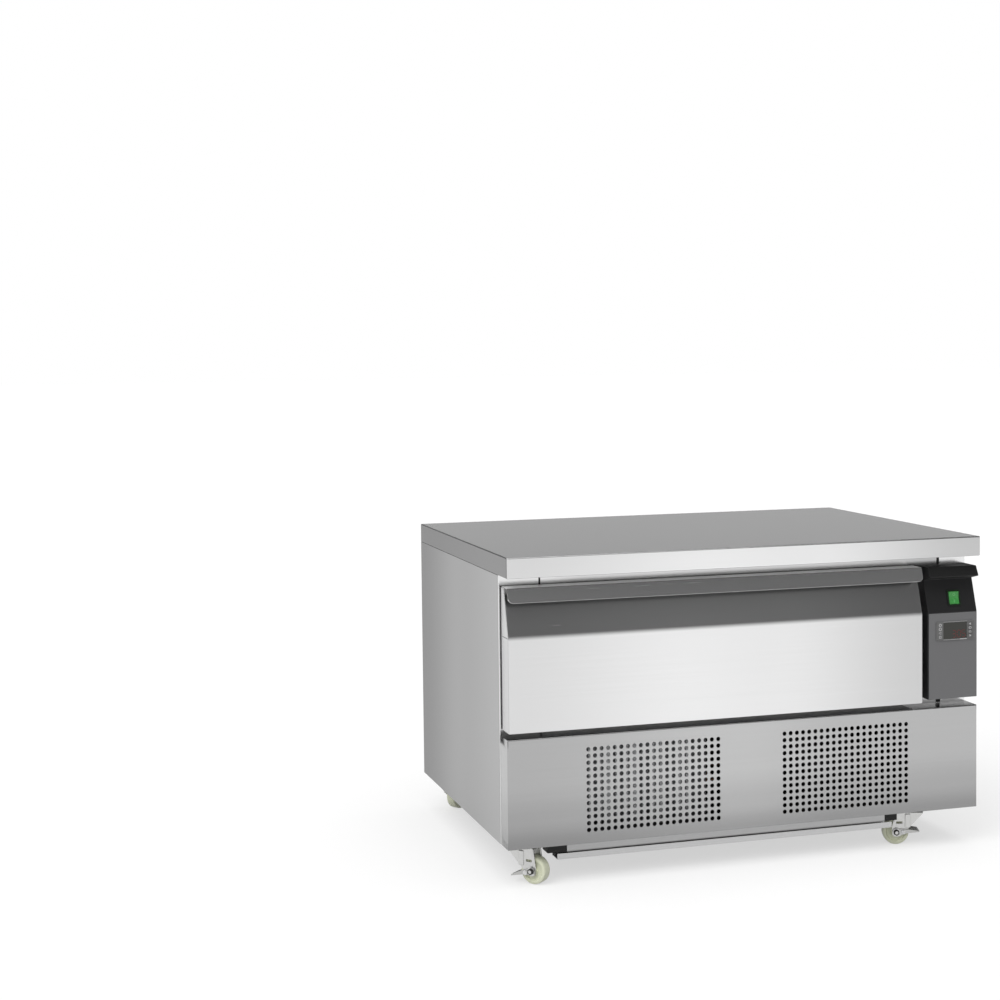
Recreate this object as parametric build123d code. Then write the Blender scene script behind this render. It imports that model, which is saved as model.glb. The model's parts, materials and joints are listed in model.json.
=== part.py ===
from build123d import *
import math
import os

# Low refrigerated counter with one wide drawer for two full-size food pans, on four castors.
# Millimetres. Origin on the floor under the middle of the cabinet, +Z up, drawer facing -Y.

# Cabinet
WIDTH = 930.0
DEPTH = 650.0
HEIGHT = 590.0
WORKTOP_THICK = 37.0
BODY_BASE = 71.0
SHEET = 1.2
BEND_RADIUS = 2.0
SEAM_GAP = 0.8
CLEARANCE = 0.4

# Flats on round bars and pipes
ROUND_SIDES = 16
PIN_SIDES = 8
PIPE_SIDES = 8

# Set-backs of the front planes, measured from the worktop's front edge
FACE_SETBACK = 11.0
FRAME_SETBACK = 58.0

# Drawer front
DRAWER_LEFT = 4.4
DRAWER_WIDTH = 809.6
DRAWER_BOTTOM = 277.0
DRAWER_TOP = 533.0
CREASE_HEIGHT = 446.0
LEAN_DEPTH = 27.0
DRAWER_BACK_SETBACK = 52.0

# Drawer opening and cold chamber
OPENING_LEFT = 77.0
OPENING_WIDTH = 705.0
OPENING_BOTTOM = 297.0
OPENING_TOP = 513.0
CAVITY_BACK = 600.0
CHAMBER_RIGHT = 868.0
CHAMBER_FRONT = 100.0
SEAM_RIGHT = 872.0
RETURN_DEPTH = 20.0
FOAM_BOTTOM = 256.0
PANEL_TOP = 267.0

# Full-size food pan, measured over its rim
PAN_LENGTH = 530.0
PAN_WIDTH = 325.0

# Derived places
LEFT = -WIDTH / 2
RIGHT = WIDTH / 2
FRONT = -DEPTH / 2
BACK = DEPTH / 2
BODY_TOP = HEIGHT - WORKTOP_THICK
FACE_Y = FRONT + FACE_SETBACK
FRAME_Y = FRONT + FRAME_SETBACK
DRAWER_BACK_Y = FRONT + DRAWER_BACK_SETBACK
OPENING_RIGHT = OPENING_LEFT + OPENING_WIDTH


def across(distance):
    """X of a place measured from the cabinet's left side."""
    return LEFT + distance


def back(distance):
    """Y of a place measured from the worktop's front edge."""
    return FRONT + distance


def block(x, y, z):
    """A box between pairs of limits on each axis."""
    size = Box(x[1] - x[0], y[1] - y[0], z[1] - z[0])
    return Pos((x[0] + x[1]) / 2, (y[0] + y[1]) / 2, (z[0] + z[1]) / 2) * size


def side_face(points):
    """A face in the YZ plane from (y, z) points."""
    return make_face(Polyline(*[(0, y, z) for y, z in points], close=True))


def prism(face, x0, x1):
    """A YZ face extruded along X between two limits."""
    return Pos(x0, 0, 0) * extrude(face, x1 - x0, dir=(1, 0, 0))


def bent_sheet(points, z0, z1):
    """An upright sheet with rounded folds, whose outer face follows (x, y) points."""
    line = FilletPolyline(*points, radius=BEND_RADIUS)
    strip = make_brake_formed(SHEET, z1 - z0, line, side=Side.LEFT)
    return Pos(0, 0, z0 - strip.bounding_box().min.Z) * strip


def round_bar(radius, height, sides=ROUND_SIDES):
    """A round bar standing on the XY plane, drawn with flats at its radius to keep it light."""
    return extrude(RegularPolygon(radius, sides, major_radius=False), height)


def pin(radius, low, high):
    """A pin along Z whose corners touch its radius, so that it turns freely in a flat-sided bore."""
    return Pos(0, 0, low) * extrude(RegularPolygon(radius, PIN_SIDES), high - low)


def pipe(points, radius):
    """A thin pipe along points, mitred at its bends."""
    path = Polyline(*points)
    section = Plane(origin=path @ 0, z_dir=path % 0) * RegularPolygon(radius, PIPE_SIDES)
    return sweep(section, path=path, transition=Transition.RIGHT)


def save(shape, name):
    export_step(shape, f"parts/{name}.step")


# Worktop: a folded lid over a core board
TOP_SHEET = 1.5
TOP_EDGE = 1.0
TOP_RETURN = 25.0


def core_block():
    return block(
        (LEFT + TOP_SHEET, RIGHT - TOP_SHEET),
        (FRONT + TOP_SHEET, BACK - TOP_SHEET),
        (BODY_TOP + TOP_SHEET, HEIGHT - TOP_SHEET),
    )


def worktop():
    lid = block((LEFT, RIGHT), (FRONT, BACK), (BODY_TOP, HEIGHT))
    lid = chamfer(lid.edges().filter_by(Axis.Z) + lid.edges().group_by(Axis.Z)[-1], TOP_EDGE)
    mouth = block(
        (LEFT + TOP_RETURN, RIGHT - TOP_RETURN),
        (FRONT + TOP_RETURN, BACK - TOP_RETURN),
        (BODY_TOP, BODY_TOP + TOP_SHEET),
    )
    return lid - core_block() - mouth


# Outer casing
LOWER_RETURN = 16.0
REAR_RETURN = 16.0
REAR_RECESS = 12.0
LOUVRE_COLUMNS = 3
LOUVRE_ROWS = 4
LOUVRE_WIDTH = 90.0
LOUVRE_HEIGHT = 6.0
LOUVRE_SPACE = (160.0, 18.0)
LOUVRE_HEIGHT_CENTRE = 150.0


def side_panel(side, post_width):
    """A folded side sheet. Its front fold is the post beside the opening, side -1 left, 1 right."""
    x = LEFT if side < 0 else RIGHT
    recess_y = BACK - REAR_RECESS
    points = [
        (x - side * post_width, FRAME_Y),
        (x, FRAME_Y),
        (x, BACK),
        (x - side * REAR_RECESS, BACK),
        (x - side * REAR_RECESS, recess_y),
        (x - side * (REAR_RECESS + REAR_RETURN), recess_y),
    ]
    if side < 0:
        points.insert(0, (x - side * post_width, FRAME_Y + RETURN_DEPTH))
        points.reverse()
    sheet = bent_sheet(points, BODY_BASE, BODY_TOP)
    # Below the drawer the front fold is narrow, so that air reaches the cooling unit.
    edge = x - side * (post_width + 1)
    fold = x - side * LOWER_RETURN
    y = (FRAME_Y - 1, FRAME_Y + RETURN_DEPTH + 1)
    sheet -= block(sorted((edge, fold)), y, (BODY_BASE - 1, PANEL_TOP - 5))
    # The fold into the opening is as high as the opening.
    inner = sorted((edge, x - side * (post_width - 4)))
    y = (FRAME_Y + BEND_RADIUS + SHEET, y[1])
    sheet -= block(inner, y, (OPENING_TOP, BODY_TOP + 1))
    return sheet - block(inner, y, (BODY_BASE, OPENING_BOTTOM))


def rear_panel():
    x = REAR_RECESS + BEND_RADIUS + CLEARANCE
    y = BACK - REAR_RECESS
    panel = block((LEFT + x, RIGHT - x), (y, y + SHEET), (BODY_BASE, BODY_TOP))
    plane = Plane(origin=(0, y, LOUVRE_HEIGHT_CENTRE), x_dir=(1, 0, 0), z_dir=(0, -1, 0))
    slots = Sketch() + [
        place * Rectangle(LOUVRE_WIDTH, LOUVRE_HEIGHT)
        for place in GridLocations(*LOUVRE_SPACE, LOUVRE_COLUMNS, LOUVRE_ROWS)
    ]
    inlet = Pos(across(INLET_X), y, INLET_Z) * Box(INLET_WIDTH - 4, 4 * SHEET, INLET_HEIGHT - 4)
    return panel - extrude(plane * slots, 2 * SHEET, both=True) - inlet


def frame_top_rail():
    """The strip above the drawer, folded back at the opening's top edge and under the worktop."""
    x = (across(OPENING_LEFT) + SEAM_GAP, across(SEAM_RIGHT) - SEAM_GAP)
    y = (FRAME_Y, FRAME_Y + RETURN_DEPTH)
    front = block(x, (y[0], y[0] + SHEET), (OPENING_TOP, BODY_TOP))
    lower_fold = block((x[0], across(OPENING_RIGHT)), y, (OPENING_TOP, OPENING_TOP + SHEET))
    upper_fold = block(x, y, (BODY_TOP - SHEET, BODY_TOP))
    return front + lower_fold + upper_fold


def frame_sill():
    """One L-shaped sheet: the sill under the opening and the plate behind the control column."""
    x = (across(OPENING_LEFT) + SEAM_GAP, across(SEAM_RIGHT) - SEAM_GAP)
    side = across(OPENING_RIGHT)
    y = (FRAME_Y, FRAME_Y + RETURN_DEPTH)
    low = PANEL_TOP - 5
    top = OPENING_TOP - CLEARANCE
    sill = block(x, (y[0], y[0] + SHEET), (low, OPENING_BOTTOM))
    plate = block((side, x[1]), (y[0], y[0] + SHEET), (low, top))
    sill_fold = block((x[0], side), y, (OPENING_BOTTOM - SHEET, OPENING_BOTTOM))
    plate_fold = block((side, side + SHEET), y, (OPENING_BOTTOM - SHEET, top))
    return sill + plate + sill_fold + plate_fold


# Cold chamber
LINER_WALL = 1.0
COVE = 6.0
DRAIN_PLACE = (825.0, 470.0)
DRAIN_RADIUS = 8.0
DRAIN_BORE = 6.0
DRAIN_END = 118.0
LINE_PLACE = (827.0, 355.0)
LINE_RADIUS = 4.5


def chamber(grow):
    """The air space of the drawer bay and the evaporator bay beside it, grown by a wall."""
    z = (OPENING_BOTTOM - grow, OPENING_TOP + grow)
    rear = back(CAVITY_BACK) + grow
    bay = block(
        (across(OPENING_LEFT) - grow, across(OPENING_RIGHT) + grow), (FRAME_Y + RETURN_DEPTH, rear), z
    )
    evaporator_bay = block(
        (across(OPENING_RIGHT) - 1, across(CHAMBER_RIGHT) + grow), (back(CHAMBER_FRONT) - grow, rear), z
    )
    return bay + evaporator_bay


def coved_chamber(grow):
    """The same space with flat coves along its floor's left and rear edges and rear corners."""
    space = chamber(grow)
    rear_corners = space.edges().filter_by(Axis.Z).group_by(Axis.Y)[-1]
    floor = space.edges().group_by(Axis.Z)[0]
    floor_left = floor.filter_by(Axis.Y).group_by(Axis.X)[0]
    floor_rear = floor.filter_by(Axis.X).group_by(Axis.Y)[-1]
    return chamfer(rear_corners + floor_left + floor_rear, COVE + grow * (2 - math.sqrt(2)))


def hole_down(place, radius, low, high, sides=PIN_SIDES):
    """An upright bar that marks a hole or a pipe at a place in plan."""
    return Pos(across(place[0]), back(place[1]), low) * round_bar(radius, high - low, sides)


def inner_liner():
    liner = coved_chamber(LINER_WALL) - coved_chamber(0)
    low = OPENING_BOTTOM - 3 * LINER_WALL
    high = OPENING_BOTTOM + LINER_WALL
    liner -= hole_down(DRAIN_PLACE, DRAIN_RADIUS, low, high)
    return liner - hole_down(LINE_PLACE, LINE_RADIUS + 1, low, high)


def insulation():
    """The foam between casing and liner. The worktop closes its top."""
    y = (FRAME_Y + SHEET, BACK - REAR_RECESS - SHEET - CLEARANCE)
    z = (FOAM_BOTTOM, BODY_TOP)
    foam = block((LEFT + SHEET, RIGHT - SHEET), y, z)
    foam = chamfer(foam.edges().filter_by(Axis.Z), BEND_RADIUS)
    x = (across(OPENING_LEFT) - SHEET, across(OPENING_RIGHT) + SHEET)
    folds = (FRAME_Y, FRAME_Y + RETURN_DEPTH)
    foam -= block(x, folds, (OPENING_BOTTOM - SHEET, OPENING_TOP + SHEET))
    foam -= block((x[0], across(SEAM_RIGHT)), folds, (BODY_TOP - SHEET, BODY_TOP))
    foam -= block((x[0] - 2, x[0] + SHEET), (folds[0], folds[0] + BEND_RADIUS + SHEET), z)
    foam -= chamber(LINER_WALL)
    foam -= hole_down(DRAIN_PLACE, DRAIN_RADIUS, FOAM_BOTTOM, OPENING_BOTTOM)
    return foam - hole_down(LINE_PLACE, LINE_RADIUS + 1, FOAM_BOTTOM, OPENING_BOTTOM)


def drain_pipe():
    high = OPENING_BOTTOM - LINER_WALL
    return hole_down(DRAIN_PLACE, DRAIN_RADIUS, DRAIN_END, high) - hole_down(
        DRAIN_PLACE, DRAIN_BORE, DRAIN_END, high
    )


# Base
PAN_RIM = 20.0
WELL_X = (115.0, 744.0)
WELL_Y = (30.0, 600.0)
WELL_DEPTH = 17.0
RAIL_X = (97.0, 759.0)
RAIL_DEPTH = 32.0
RAIL_HEIGHT = 10.5
RAIL_GAP = 2.0


def base_pan():
    """The floor of the machine compartment, with a pressed well under the cooling unit."""
    x = (LEFT + 2 * SHEET, RIGHT - 2 * SHEET)
    y = (back(24), BACK - REAR_RECESS - SHEET - CLEARANCE)
    pan = block(x, y, (BODY_BASE, BODY_BASE + PAN_RIM))
    pan -= block(
        (x[0] + SHEET, x[1] - SHEET), (y[0] - 1, y[1] - SHEET), (BODY_BASE + SHEET, BODY_BASE + PAN_RIM)
    )
    well_x = (across(WELL_X[0]), across(WELL_X[1]))
    well_y = (back(WELL_Y[0]), back(WELL_Y[1]))
    low = BODY_BASE - WELL_DEPTH
    pan += block(well_x, well_y, (low, BODY_BASE + SHEET))
    pan -= block(
        (well_x[0] + SHEET, well_x[1] - SHEET),
        (well_y[0] + SHEET, well_y[1] - SHEET),
        (low + SHEET, BODY_BASE + SHEET),
    )
    # Notches let the narrow front folds of the side panels pass.
    for edge in x:
        pan -= Pos(edge, FRAME_Y, BODY_BASE + PAN_RIM / 2) * Box(
            2 * (LOWER_RETURN + CLEARANCE), 4 * SHEET, 2 * PAN_RIM
        )
    return pan


def floor_rail(y, rear_side):
    """A channel across the underside. Its tall flange reaches the floor, its front hangs free."""
    top = BODY_BASE - WELL_DEPTH
    low = top - RAIL_GAP - RAIL_HEIGHT
    x = (across(RAIL_X[0]), across(RAIL_X[1]))
    web = block(x, (y, y + RAIL_DEPTH), (low, low + SHEET))
    heights = (top, top - RAIL_GAP) if rear_side else (top - RAIL_GAP, top)
    front = block(x, (y, y + SHEET), (low, heights[0]))
    rear = block(x, (y + RAIL_DEPTH - SHEET, y + RAIL_DEPTH), (low, heights[1]))
    return web + front + rear


def floor_rails():
    front = floor_rail(back(WELL_Y[0]), False)
    rear = floor_rail(back(WELL_Y[1]) - RAIL_DEPTH, True)
    return Compound(children=[front, rear])


# Lower front panel and its two grids of punched holes
PANEL_FLANGE = 10.0
GRID_WIDTH = 248.8
GRID_TALL = 145.2
PUNCHED_HOLES = 21 * 13
PUNCHED_DIAMETER = 8.0
GRID_COLUMNS = 17
GRID_ROWS = 10
GRID_OFFSET = 190.0
GRID_HEIGHT = 168.0


def grid_holes():
    """Both grids in one sketch, each over the span between its outermost hole centres.

    Each punched grid has 21 columns and 13 rows of round holes. Here fewer and square holes,
    with the same open area in all, keep the sheet light.
    """
    open_area = PUNCHED_HOLES * math.pi * PUNCHED_DIAMETER**2 / 4
    side = math.sqrt(open_area / (GRID_COLUMNS * GRID_ROWS))
    grow = side - PUNCHED_DIAMETER
    pitch_x = (GRID_WIDTH - grow) / (GRID_COLUMNS - 1)
    pitch_z = (GRID_TALL - grow) / (GRID_ROWS - 1)
    grid = GridLocations(pitch_x, pitch_z, GRID_COLUMNS, GRID_ROWS)
    places = [Pos(x, GRID_HEIGHT) * place for x in (-GRID_OFFSET, GRID_OFFSET) for place in grid]
    return Sketch() + [place * Rectangle(side, side) for place in places]


def lower_front_panel():
    x = (LEFT + 1, RIGHT - 1)
    y = (FACE_Y, FRAME_Y - CLEARANCE)
    z = (BODY_BASE, PANEL_TOP)
    panel = block(x, y, z)
    panel = fillet(panel.edges().filter_by(Axis.Z).group_by(Axis.Y)[0], BEND_RADIUS)
    inner_x = (x[0] + SHEET, x[1] - SHEET)
    inside = block(inner_x, (y[0] + SHEET, y[1] + 1), (z[0] + SHEET, z[1] - SHEET))
    inside = fillet(inside.edges().filter_by(Axis.Z).group_by(Axis.Y)[0], BEND_RADIUS - SHEET)
    panel -= inside
    panel -= block(inner_x, (y[0] + PANEL_FLANGE, y[1] + 1), (z[0] - 1, z[0] + 2 * SHEET))
    plane = Plane(origin=(0, FACE_Y, 0), x_dir=(1, 0, 0), z_dir=(0, -1, 0))
    return panel - extrude(plane * grid_holes(), 2 * SHEET, both=True)


# Control column beside the drawer
COLUMN_LEFT = 826.0
COLUMN_RIGHT = 929.0
COLUMN_BOTTOM = 283.0
COLUMN_WALL = 3.5
CAP_INNER_HEIGHT = 508.0
CAP_TIP = (4.0, 514.5)
CAP_TOP_SETBACK = 14.0
FASCIA_THICK = 2.0
FASCIA_EDGE = 2.0
SLOPE = LEAN_DEPTH / (DRAWER_TOP - CREASE_HEIGHT)
LEAN_ANGLE = math.degrees(math.atan(SLOPE))

# Lit rocker switch on the column's leaning face
SWITCH_X = 884.0
SWITCH_Z = 473.0
SWITCH_WIDTH = 27.0
SWITCH_LENGTH = 31.0
SWITCH_DEPTH = 24.0
BEZEL_THICK = 2.0
ROCKER_WIDTH = 21.0
ROCKER_TILT = 7.0
ROCKER_ROOM = 13.6
PIVOT_DEPTH = 3.0

# Temperature controller
CONTROLLER_X = 882.0
CONTROLLER_Z = 412.0
CONTROLLER_WIDTH = 80.0
CONTROLLER_HEIGHT = 36.0
CONTROLLER_DEPTH = 34.0
CONTROLLER_RIM = 1.5
CUTOUT_WIDTH = 76.0
CUTOUT_HEIGHT = 33.0
LENS_WIDTH = 50.0
LENS_HEIGHT = 31.0
LENS_RECESS = 0.4
KEY_WIDTH = 9.0
KEY_HEIGHT = 6.2
KEY_PITCH = 7.5
KEY_DEPTH = 4.5
KEY_COUNT = 4
KEY_OFFSET = 31.5


def lean_y(z):
    """Y of the leaning faces at height z."""
    return FACE_Y + (z - CREASE_HEIGHT) * SLOPE


def column_face():
    """Side view of the column: upright, then leaning back under a cap that juts forward."""
    return side_face(
        [
            (FRAME_Y, COLUMN_BOTTOM),
            (FACE_Y, COLUMN_BOTTOM),
            (FACE_Y, CREASE_HEIGHT),
            (lean_y(CAP_INNER_HEIGHT), CAP_INNER_HEIGHT),
            (back(CAP_TIP[0]), CAP_TIP[1]),
            (back(CAP_TOP_SETBACK), DRAWER_TOP),
            (FRAME_Y, DRAWER_TOP),
        ]
    )


def switch_frame():
    """The switch's own axes: X along the cabinet, Y up the leaning face, Z out of it."""
    angle = math.radians(LEAN_ANGLE)
    origin = (across(SWITCH_X), lean_y(SWITCH_Z), SWITCH_Z)
    return Plane(origin=origin, x_dir=(1, 0, 0), z_dir=(0, -math.cos(angle), math.sin(angle)))


def controller_box(width, depth, height, y=FACE_Y):
    """A box centred on the controller, with its front at y."""
    return Pos(across(CONTROLLER_X), y + depth / 2, CONTROLLER_Z) * Box(width, depth, height)


def control_housing():
    x = (across(COLUMN_LEFT), across(COLUMN_RIGHT))
    housing = prism(column_face(), *x)
    hollow = offset(column_face(), -COLUMN_WALL, kind=Kind.INTERSECTION)
    housing -= prism(hollow, x[0] + COLUMN_WALL, x[1] - COLUMN_WALL)
    # The rear is open to the frame.
    housing -= block(
        (x[0] + COLUMN_WALL, x[1] - COLUMN_WALL),
        (FRAME_Y - 2 * COLUMN_WALL, FRAME_Y + 1),
        (COLUMN_BOTTOM + COLUMN_WALL, DRAWER_TOP - COLUMN_WALL),
    )
    housing -= block(
        (x[0] + FASCIA_EDGE, x[1] + 1),
        (FACE_Y - 1, FACE_Y + FASCIA_THICK),
        (COLUMN_BOTTOM - 1, CREASE_HEIGHT),
    )
    housing -= controller_box(CUTOUT_WIDTH, 2 * COLUMN_WALL, CUTOUT_HEIGHT)
    opening = Box(SWITCH_WIDTH - 2 + CLEARANCE, SWITCH_LENGTH - 2 + CLEARANCE, 4 * COLUMN_WALL)
    return housing - switch_frame() * opening


def control_fascia():
    plate = block(
        (across(COLUMN_LEFT) + FASCIA_EDGE, across(COLUMN_RIGHT)),
        (FACE_Y, FACE_Y + FASCIA_THICK),
        (COLUMN_BOTTOM, CREASE_HEIGHT),
    )
    return plate - controller_box(CUTOUT_WIDTH, 2 * FASCIA_THICK, CUTOUT_HEIGHT)


def key_place(index):
    height = CONTROLLER_Z + (KEY_COUNT / 2 - 0.5 - index) * KEY_PITCH
    return Pos(across(CONTROLLER_X) + KEY_OFFSET, FACE_Y - CONTROLLER_RIM, height)


def controller_body():
    rim = controller_box(CONTROLLER_WIDTH, CONTROLLER_RIM, CONTROLLER_HEIGHT, FACE_Y - CONTROLLER_RIM)
    rim = chamfer(rim.edges().filter_by(Axis.Y), CONTROLLER_RIM)
    body = rim + controller_box(
        CUTOUT_WIDTH - CLEARANCE, CONTROLLER_DEPTH, CUTOUT_HEIGHT - CLEARANCE
    )
    body -= controller_box(LENS_WIDTH, CONTROLLER_RIM, LENS_HEIGHT, FACE_Y - CONTROLLER_RIM)
    for index in range(KEY_COUNT):
        well = Box(KEY_WIDTH + 2 * CLEARANCE, 4 * KEY_DEPTH, KEY_HEIGHT + 2 * CLEARANCE)
        body -= key_place(index) * well
    return body


def controller_lens():
    thickness = CONTROLLER_RIM - LENS_RECESS
    return controller_box(LENS_WIDTH, thickness, LENS_HEIGHT, FACE_Y - thickness)


def controller_key(index):
    return key_place(index) * Pos(0, KEY_DEPTH / 2 - CLEARANCE, 0) * Box(KEY_WIDTH, KEY_DEPTH, KEY_HEIGHT)


def rocker_axis():
    """The rocker's turning axis, as a place with its own axes."""
    return switch_frame().location * Pos(0, 0, -PIVOT_DEPTH)


def switch_body():
    bezel = chamfer(Box(SWITCH_WIDTH, SWITCH_LENGTH, BEZEL_THICK).edges().filter_by(Axis.Z), 2)
    case = Box(SWITCH_WIDTH - 2, SWITCH_LENGTH - 2, SWITCH_DEPTH)
    body = Pos(0, 0, BEZEL_THICK / 2) * bezel + Pos(0, 0, -SWITCH_DEPTH / 2) * case
    width = ROCKER_WIDTH + 2 * CLEARANCE
    room = Pos(-width / 2, 0, -PIVOT_DEPTH) * Rot(0, 90, 0) * round_bar(ROCKER_ROOM, width)
    return switch_frame() * (body - room)


def switch_rocker():
    """A rocker with two flats that meet in a shallow V. Its lower end is pressed in."""
    outline = [(-12, 5.5), (0, 3.8), (12, 5.5), (12, 0), (8, -7), (-8, -7), (-12, 0)]
    rocker = prism(side_face(outline), -ROCKER_WIDTH / 2, ROCKER_WIDTH / 2)
    return rocker_axis() * Rot(ROCKER_TILT, 0, 0) * rocker


# Drawer
GRIP_TOP_SETBACK = 16.0
GRIP_FRONT_SETBACK = 6.0
GRIP_BOTTOM = 508.5
GRIP_CORNER = 10.0
GRIP_HEM = 3.0
GASKET_WIDTH = 14.0
GASKET_THICK = 5.6
GASKET_EDGE = 1.5


def drawer_face(inset):
    """Side view of the drawer front: upright below the crease, leaning back above it."""
    lean_inset = inset / math.cos(math.radians(LEAN_ANGLE))
    return side_face(
        [
            (DRAWER_BACK_Y, DRAWER_BOTTOM + inset),
            (FACE_Y + inset, DRAWER_BOTTOM + inset),
            (FACE_Y + inset, CREASE_HEIGHT),
            (lean_y(DRAWER_TOP) + lean_inset, DRAWER_TOP - inset),
            (DRAWER_BACK_Y, DRAWER_TOP - inset),
        ]
    )


def drawer_span(inset=0.0):
    return across(DRAWER_LEFT) + inset, across(DRAWER_LEFT + DRAWER_WIDTH) - inset


def drawer_inside():
    return prism(drawer_face(SHEET), *drawer_span(SHEET))


def back_skin():
    y = (DRAWER_BACK_Y - SHEET, DRAWER_BACK_Y)
    return block(drawer_span(), y, (DRAWER_BOTTOM, DRAWER_TOP))


def drawer_front():
    return prism(drawer_face(0), *drawer_span()) - drawer_inside()


def drawer_back():
    """The flat inner skin that closes the drawer front and carries the gasket."""
    return drawer_inside() & back_skin()


def drawer_insulation():
    return drawer_inside() - back_skin()


def drawer_grip():
    """A full-width folded strip: flat on the drawer's top, then down in front as a finger lip."""
    rear = DRAWER_BACK_Y - 2
    top = DRAWER_TOP + SHEET
    fold = back(GRIP_TOP_SETBACK)
    front = back(GRIP_FRONT_SETBACK)
    outline = side_face(
        [
            (rear, DRAWER_TOP),
            (rear, top),
            (fold - SHEET / 2, top),
            (front, GRIP_BOTTOM + GRIP_HEM),
            (front, GRIP_BOTTOM),
            (front + SHEET, GRIP_BOTTOM),
            (front + SHEET, GRIP_BOTTOM + GRIP_HEM),
            (fold + SHEET / 2, DRAWER_TOP),
        ]
    )
    strip = prism(outline, *drawer_span())
    # Seen from the front, the lip's lower corners are round.
    limits = block(drawer_span(), (FRONT, DRAWER_BACK_Y), (GRIP_BOTTOM, top))
    return strip & fillet(limits.edges().filter_by(Axis.Y).group_by(Axis.Z)[0], GRIP_CORNER)


def drawer_gasket():
    x = (across(DRAWER_LEFT) + 5, across(OPENING_RIGHT) + 18)
    y = (DRAWER_BACK_Y, DRAWER_BACK_Y + GASKET_THICK)
    z = (DRAWER_BOTTOM + 3, DRAWER_TOP - 3)
    ring = chamfer(block(x, y, z).edges().group_by(Axis.Y)[-1], GASKET_EDGE)
    return ring - block(
        (x[0] + GASKET_WIDTH, x[1] - GASKET_WIDTH), (y[0] - 1, y[1] + 1), (z[0] + GASKET_WIDTH, z[1] - GASKET_WIDTH)
    )


# Pan frame and its telescopic slides
SLIDE_THICK = 12.9
SLIDE_Z = 470.0
SLIDE_LENGTH = 530.0
SLIDE_METAL = 1.5
SLIDE_START = 1.0
SLIDE_MEMBERS = {
    "cabinet": (0.0, 12.4, 23.0, False),
    "middle": (1.9, 11.9, 21.1, False),
    "drawer": (3.8, SLIDE_THICK, 19.2, True),
}
SEAT_Z = 486.0
SEAT_LIP = 11.0
DIVIDER_WIDTH = 24.0
PAN_FRAME_Z = (440.0, 497.0)
PAN_FRAME_WALL = 1.5
PAN_FRAME_ROOM = 5.0
WEB_HEIGHT = 22.5


def drawer_frame():
    """A welded tray frame: four walls, and flat bars inside them that the pans' rims rest on."""
    x = (across(OPENING_LEFT + SLIDE_THICK), across(OPENING_RIGHT - SLIDE_THICK))
    y = (DRAWER_BACK_Y, DRAWER_BACK_Y + PAN_LENGTH + PAN_FRAME_ROOM + 2 * PAN_FRAME_WALL)
    inner_x = (x[0] + PAN_FRAME_WALL, x[1] - PAN_FRAME_WALL)
    inner_y = (y[0] + PAN_FRAME_WALL, y[1] - PAN_FRAME_WALL)
    middle_x = (x[0] + x[1]) / 2
    middle_y = (y[0] + y[1]) / 2
    # The two windows that the pans hang in, left and right of the divider
    reach = DIVIDER_WIDTH / 2 + PAN_WIDTH - 2 * SEAT_LIP
    window_y = (middle_y - PAN_LENGTH / 2 + SEAT_LIP, middle_y + PAN_LENGTH / 2 - SEAT_LIP)
    windows_x = (middle_x - reach, middle_x + reach)
    divider_x = (middle_x - DIVIDER_WIDTH / 2, middle_x + DIVIDER_WIDTH / 2)
    seat_z = (SEAT_Z - PAN_FRAME_WALL, SEAT_Z)
    web_x = (middle_x - PAN_FRAME_WALL / 2, middle_x + PAN_FRAME_WALL / 2)
    bars = [
        block((x[0], inner_x[0]), y, PAN_FRAME_Z),
        block((inner_x[1], x[1]), y, PAN_FRAME_Z),
        block(inner_x, (y[0], inner_y[0]), PAN_FRAME_Z),
        block(inner_x, (inner_y[1], y[1]), PAN_FRAME_Z),
        block((inner_x[0], windows_x[0]), inner_y, seat_z),
        block((windows_x[1], inner_x[1]), inner_y, seat_z),
        block(windows_x, (inner_y[0], window_y[0]), seat_z),
        block(windows_x, (window_y[1], inner_y[1]), seat_z),
        block(divider_x, window_y, seat_z),
        block(web_x, inner_y, (seat_z[0] - WEB_HEIGHT, seat_z[0])),
    ]
    return Compound(children=bars)


def slide_member(side, member):
    """One channel of a slide. The three nest, with the drawer's channel facing the others."""
    near, far, half, faces_wall = SLIDE_MEMBERS[member]
    wall = across(OPENING_LEFT) if side < 0 else across(OPENING_RIGHT)
    y = (FRAME_Y + SLIDE_START, FRAME_Y + SLIDE_START + SLIDE_LENGTH)
    x = sorted((wall - side * near, wall - side * far))
    channel = block(x, y, (SLIDE_Z - half, SLIDE_Z + half))
    inner_x = [x[0] + SLIDE_METAL, x[1] - SLIDE_METAL]
    opens_right = (side < 0) != faces_wall
    inner_x[1 if opens_right else 0] += SLIDE_THICK if opens_right else -SLIDE_THICK
    inner_z = (SLIDE_Z - half + SLIDE_METAL, SLIDE_Z + half - SLIDE_METAL)
    return channel - block(inner_x, (y[0] - 1, y[1] + 1), inner_z)


# Fans
FAN_SHAFT = 2.5
FAN_PLAY = 0.05
BLADE_THICK = 1.6


def axial_fan(radius, hub, blades, depth, pitch):
    """A fan turning about Z: a hub with flared blades set at an angle."""
    span = radius - hub
    outline = make_face(
        Polyline((-3, -hub / 2), (span, -hub), (span, hub), (-3, hub / 2), close=True)
    )
    blade = Pos(hub, 0, 0) * Rot(pitch, 0, 0) * extrude(outline, BLADE_THICK / 2, both=True)
    fan = Pos(0, 0, -depth / 2) * round_bar(hub, depth)
    fan += [Rot(0, 0, index * 360 / blades) * blade for index in range(blades)]
    return fan - Pos(0, 0, -depth) * round_bar(FAN_SHAFT + FAN_PLAY, 2 * depth, PIN_SIDES)


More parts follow.
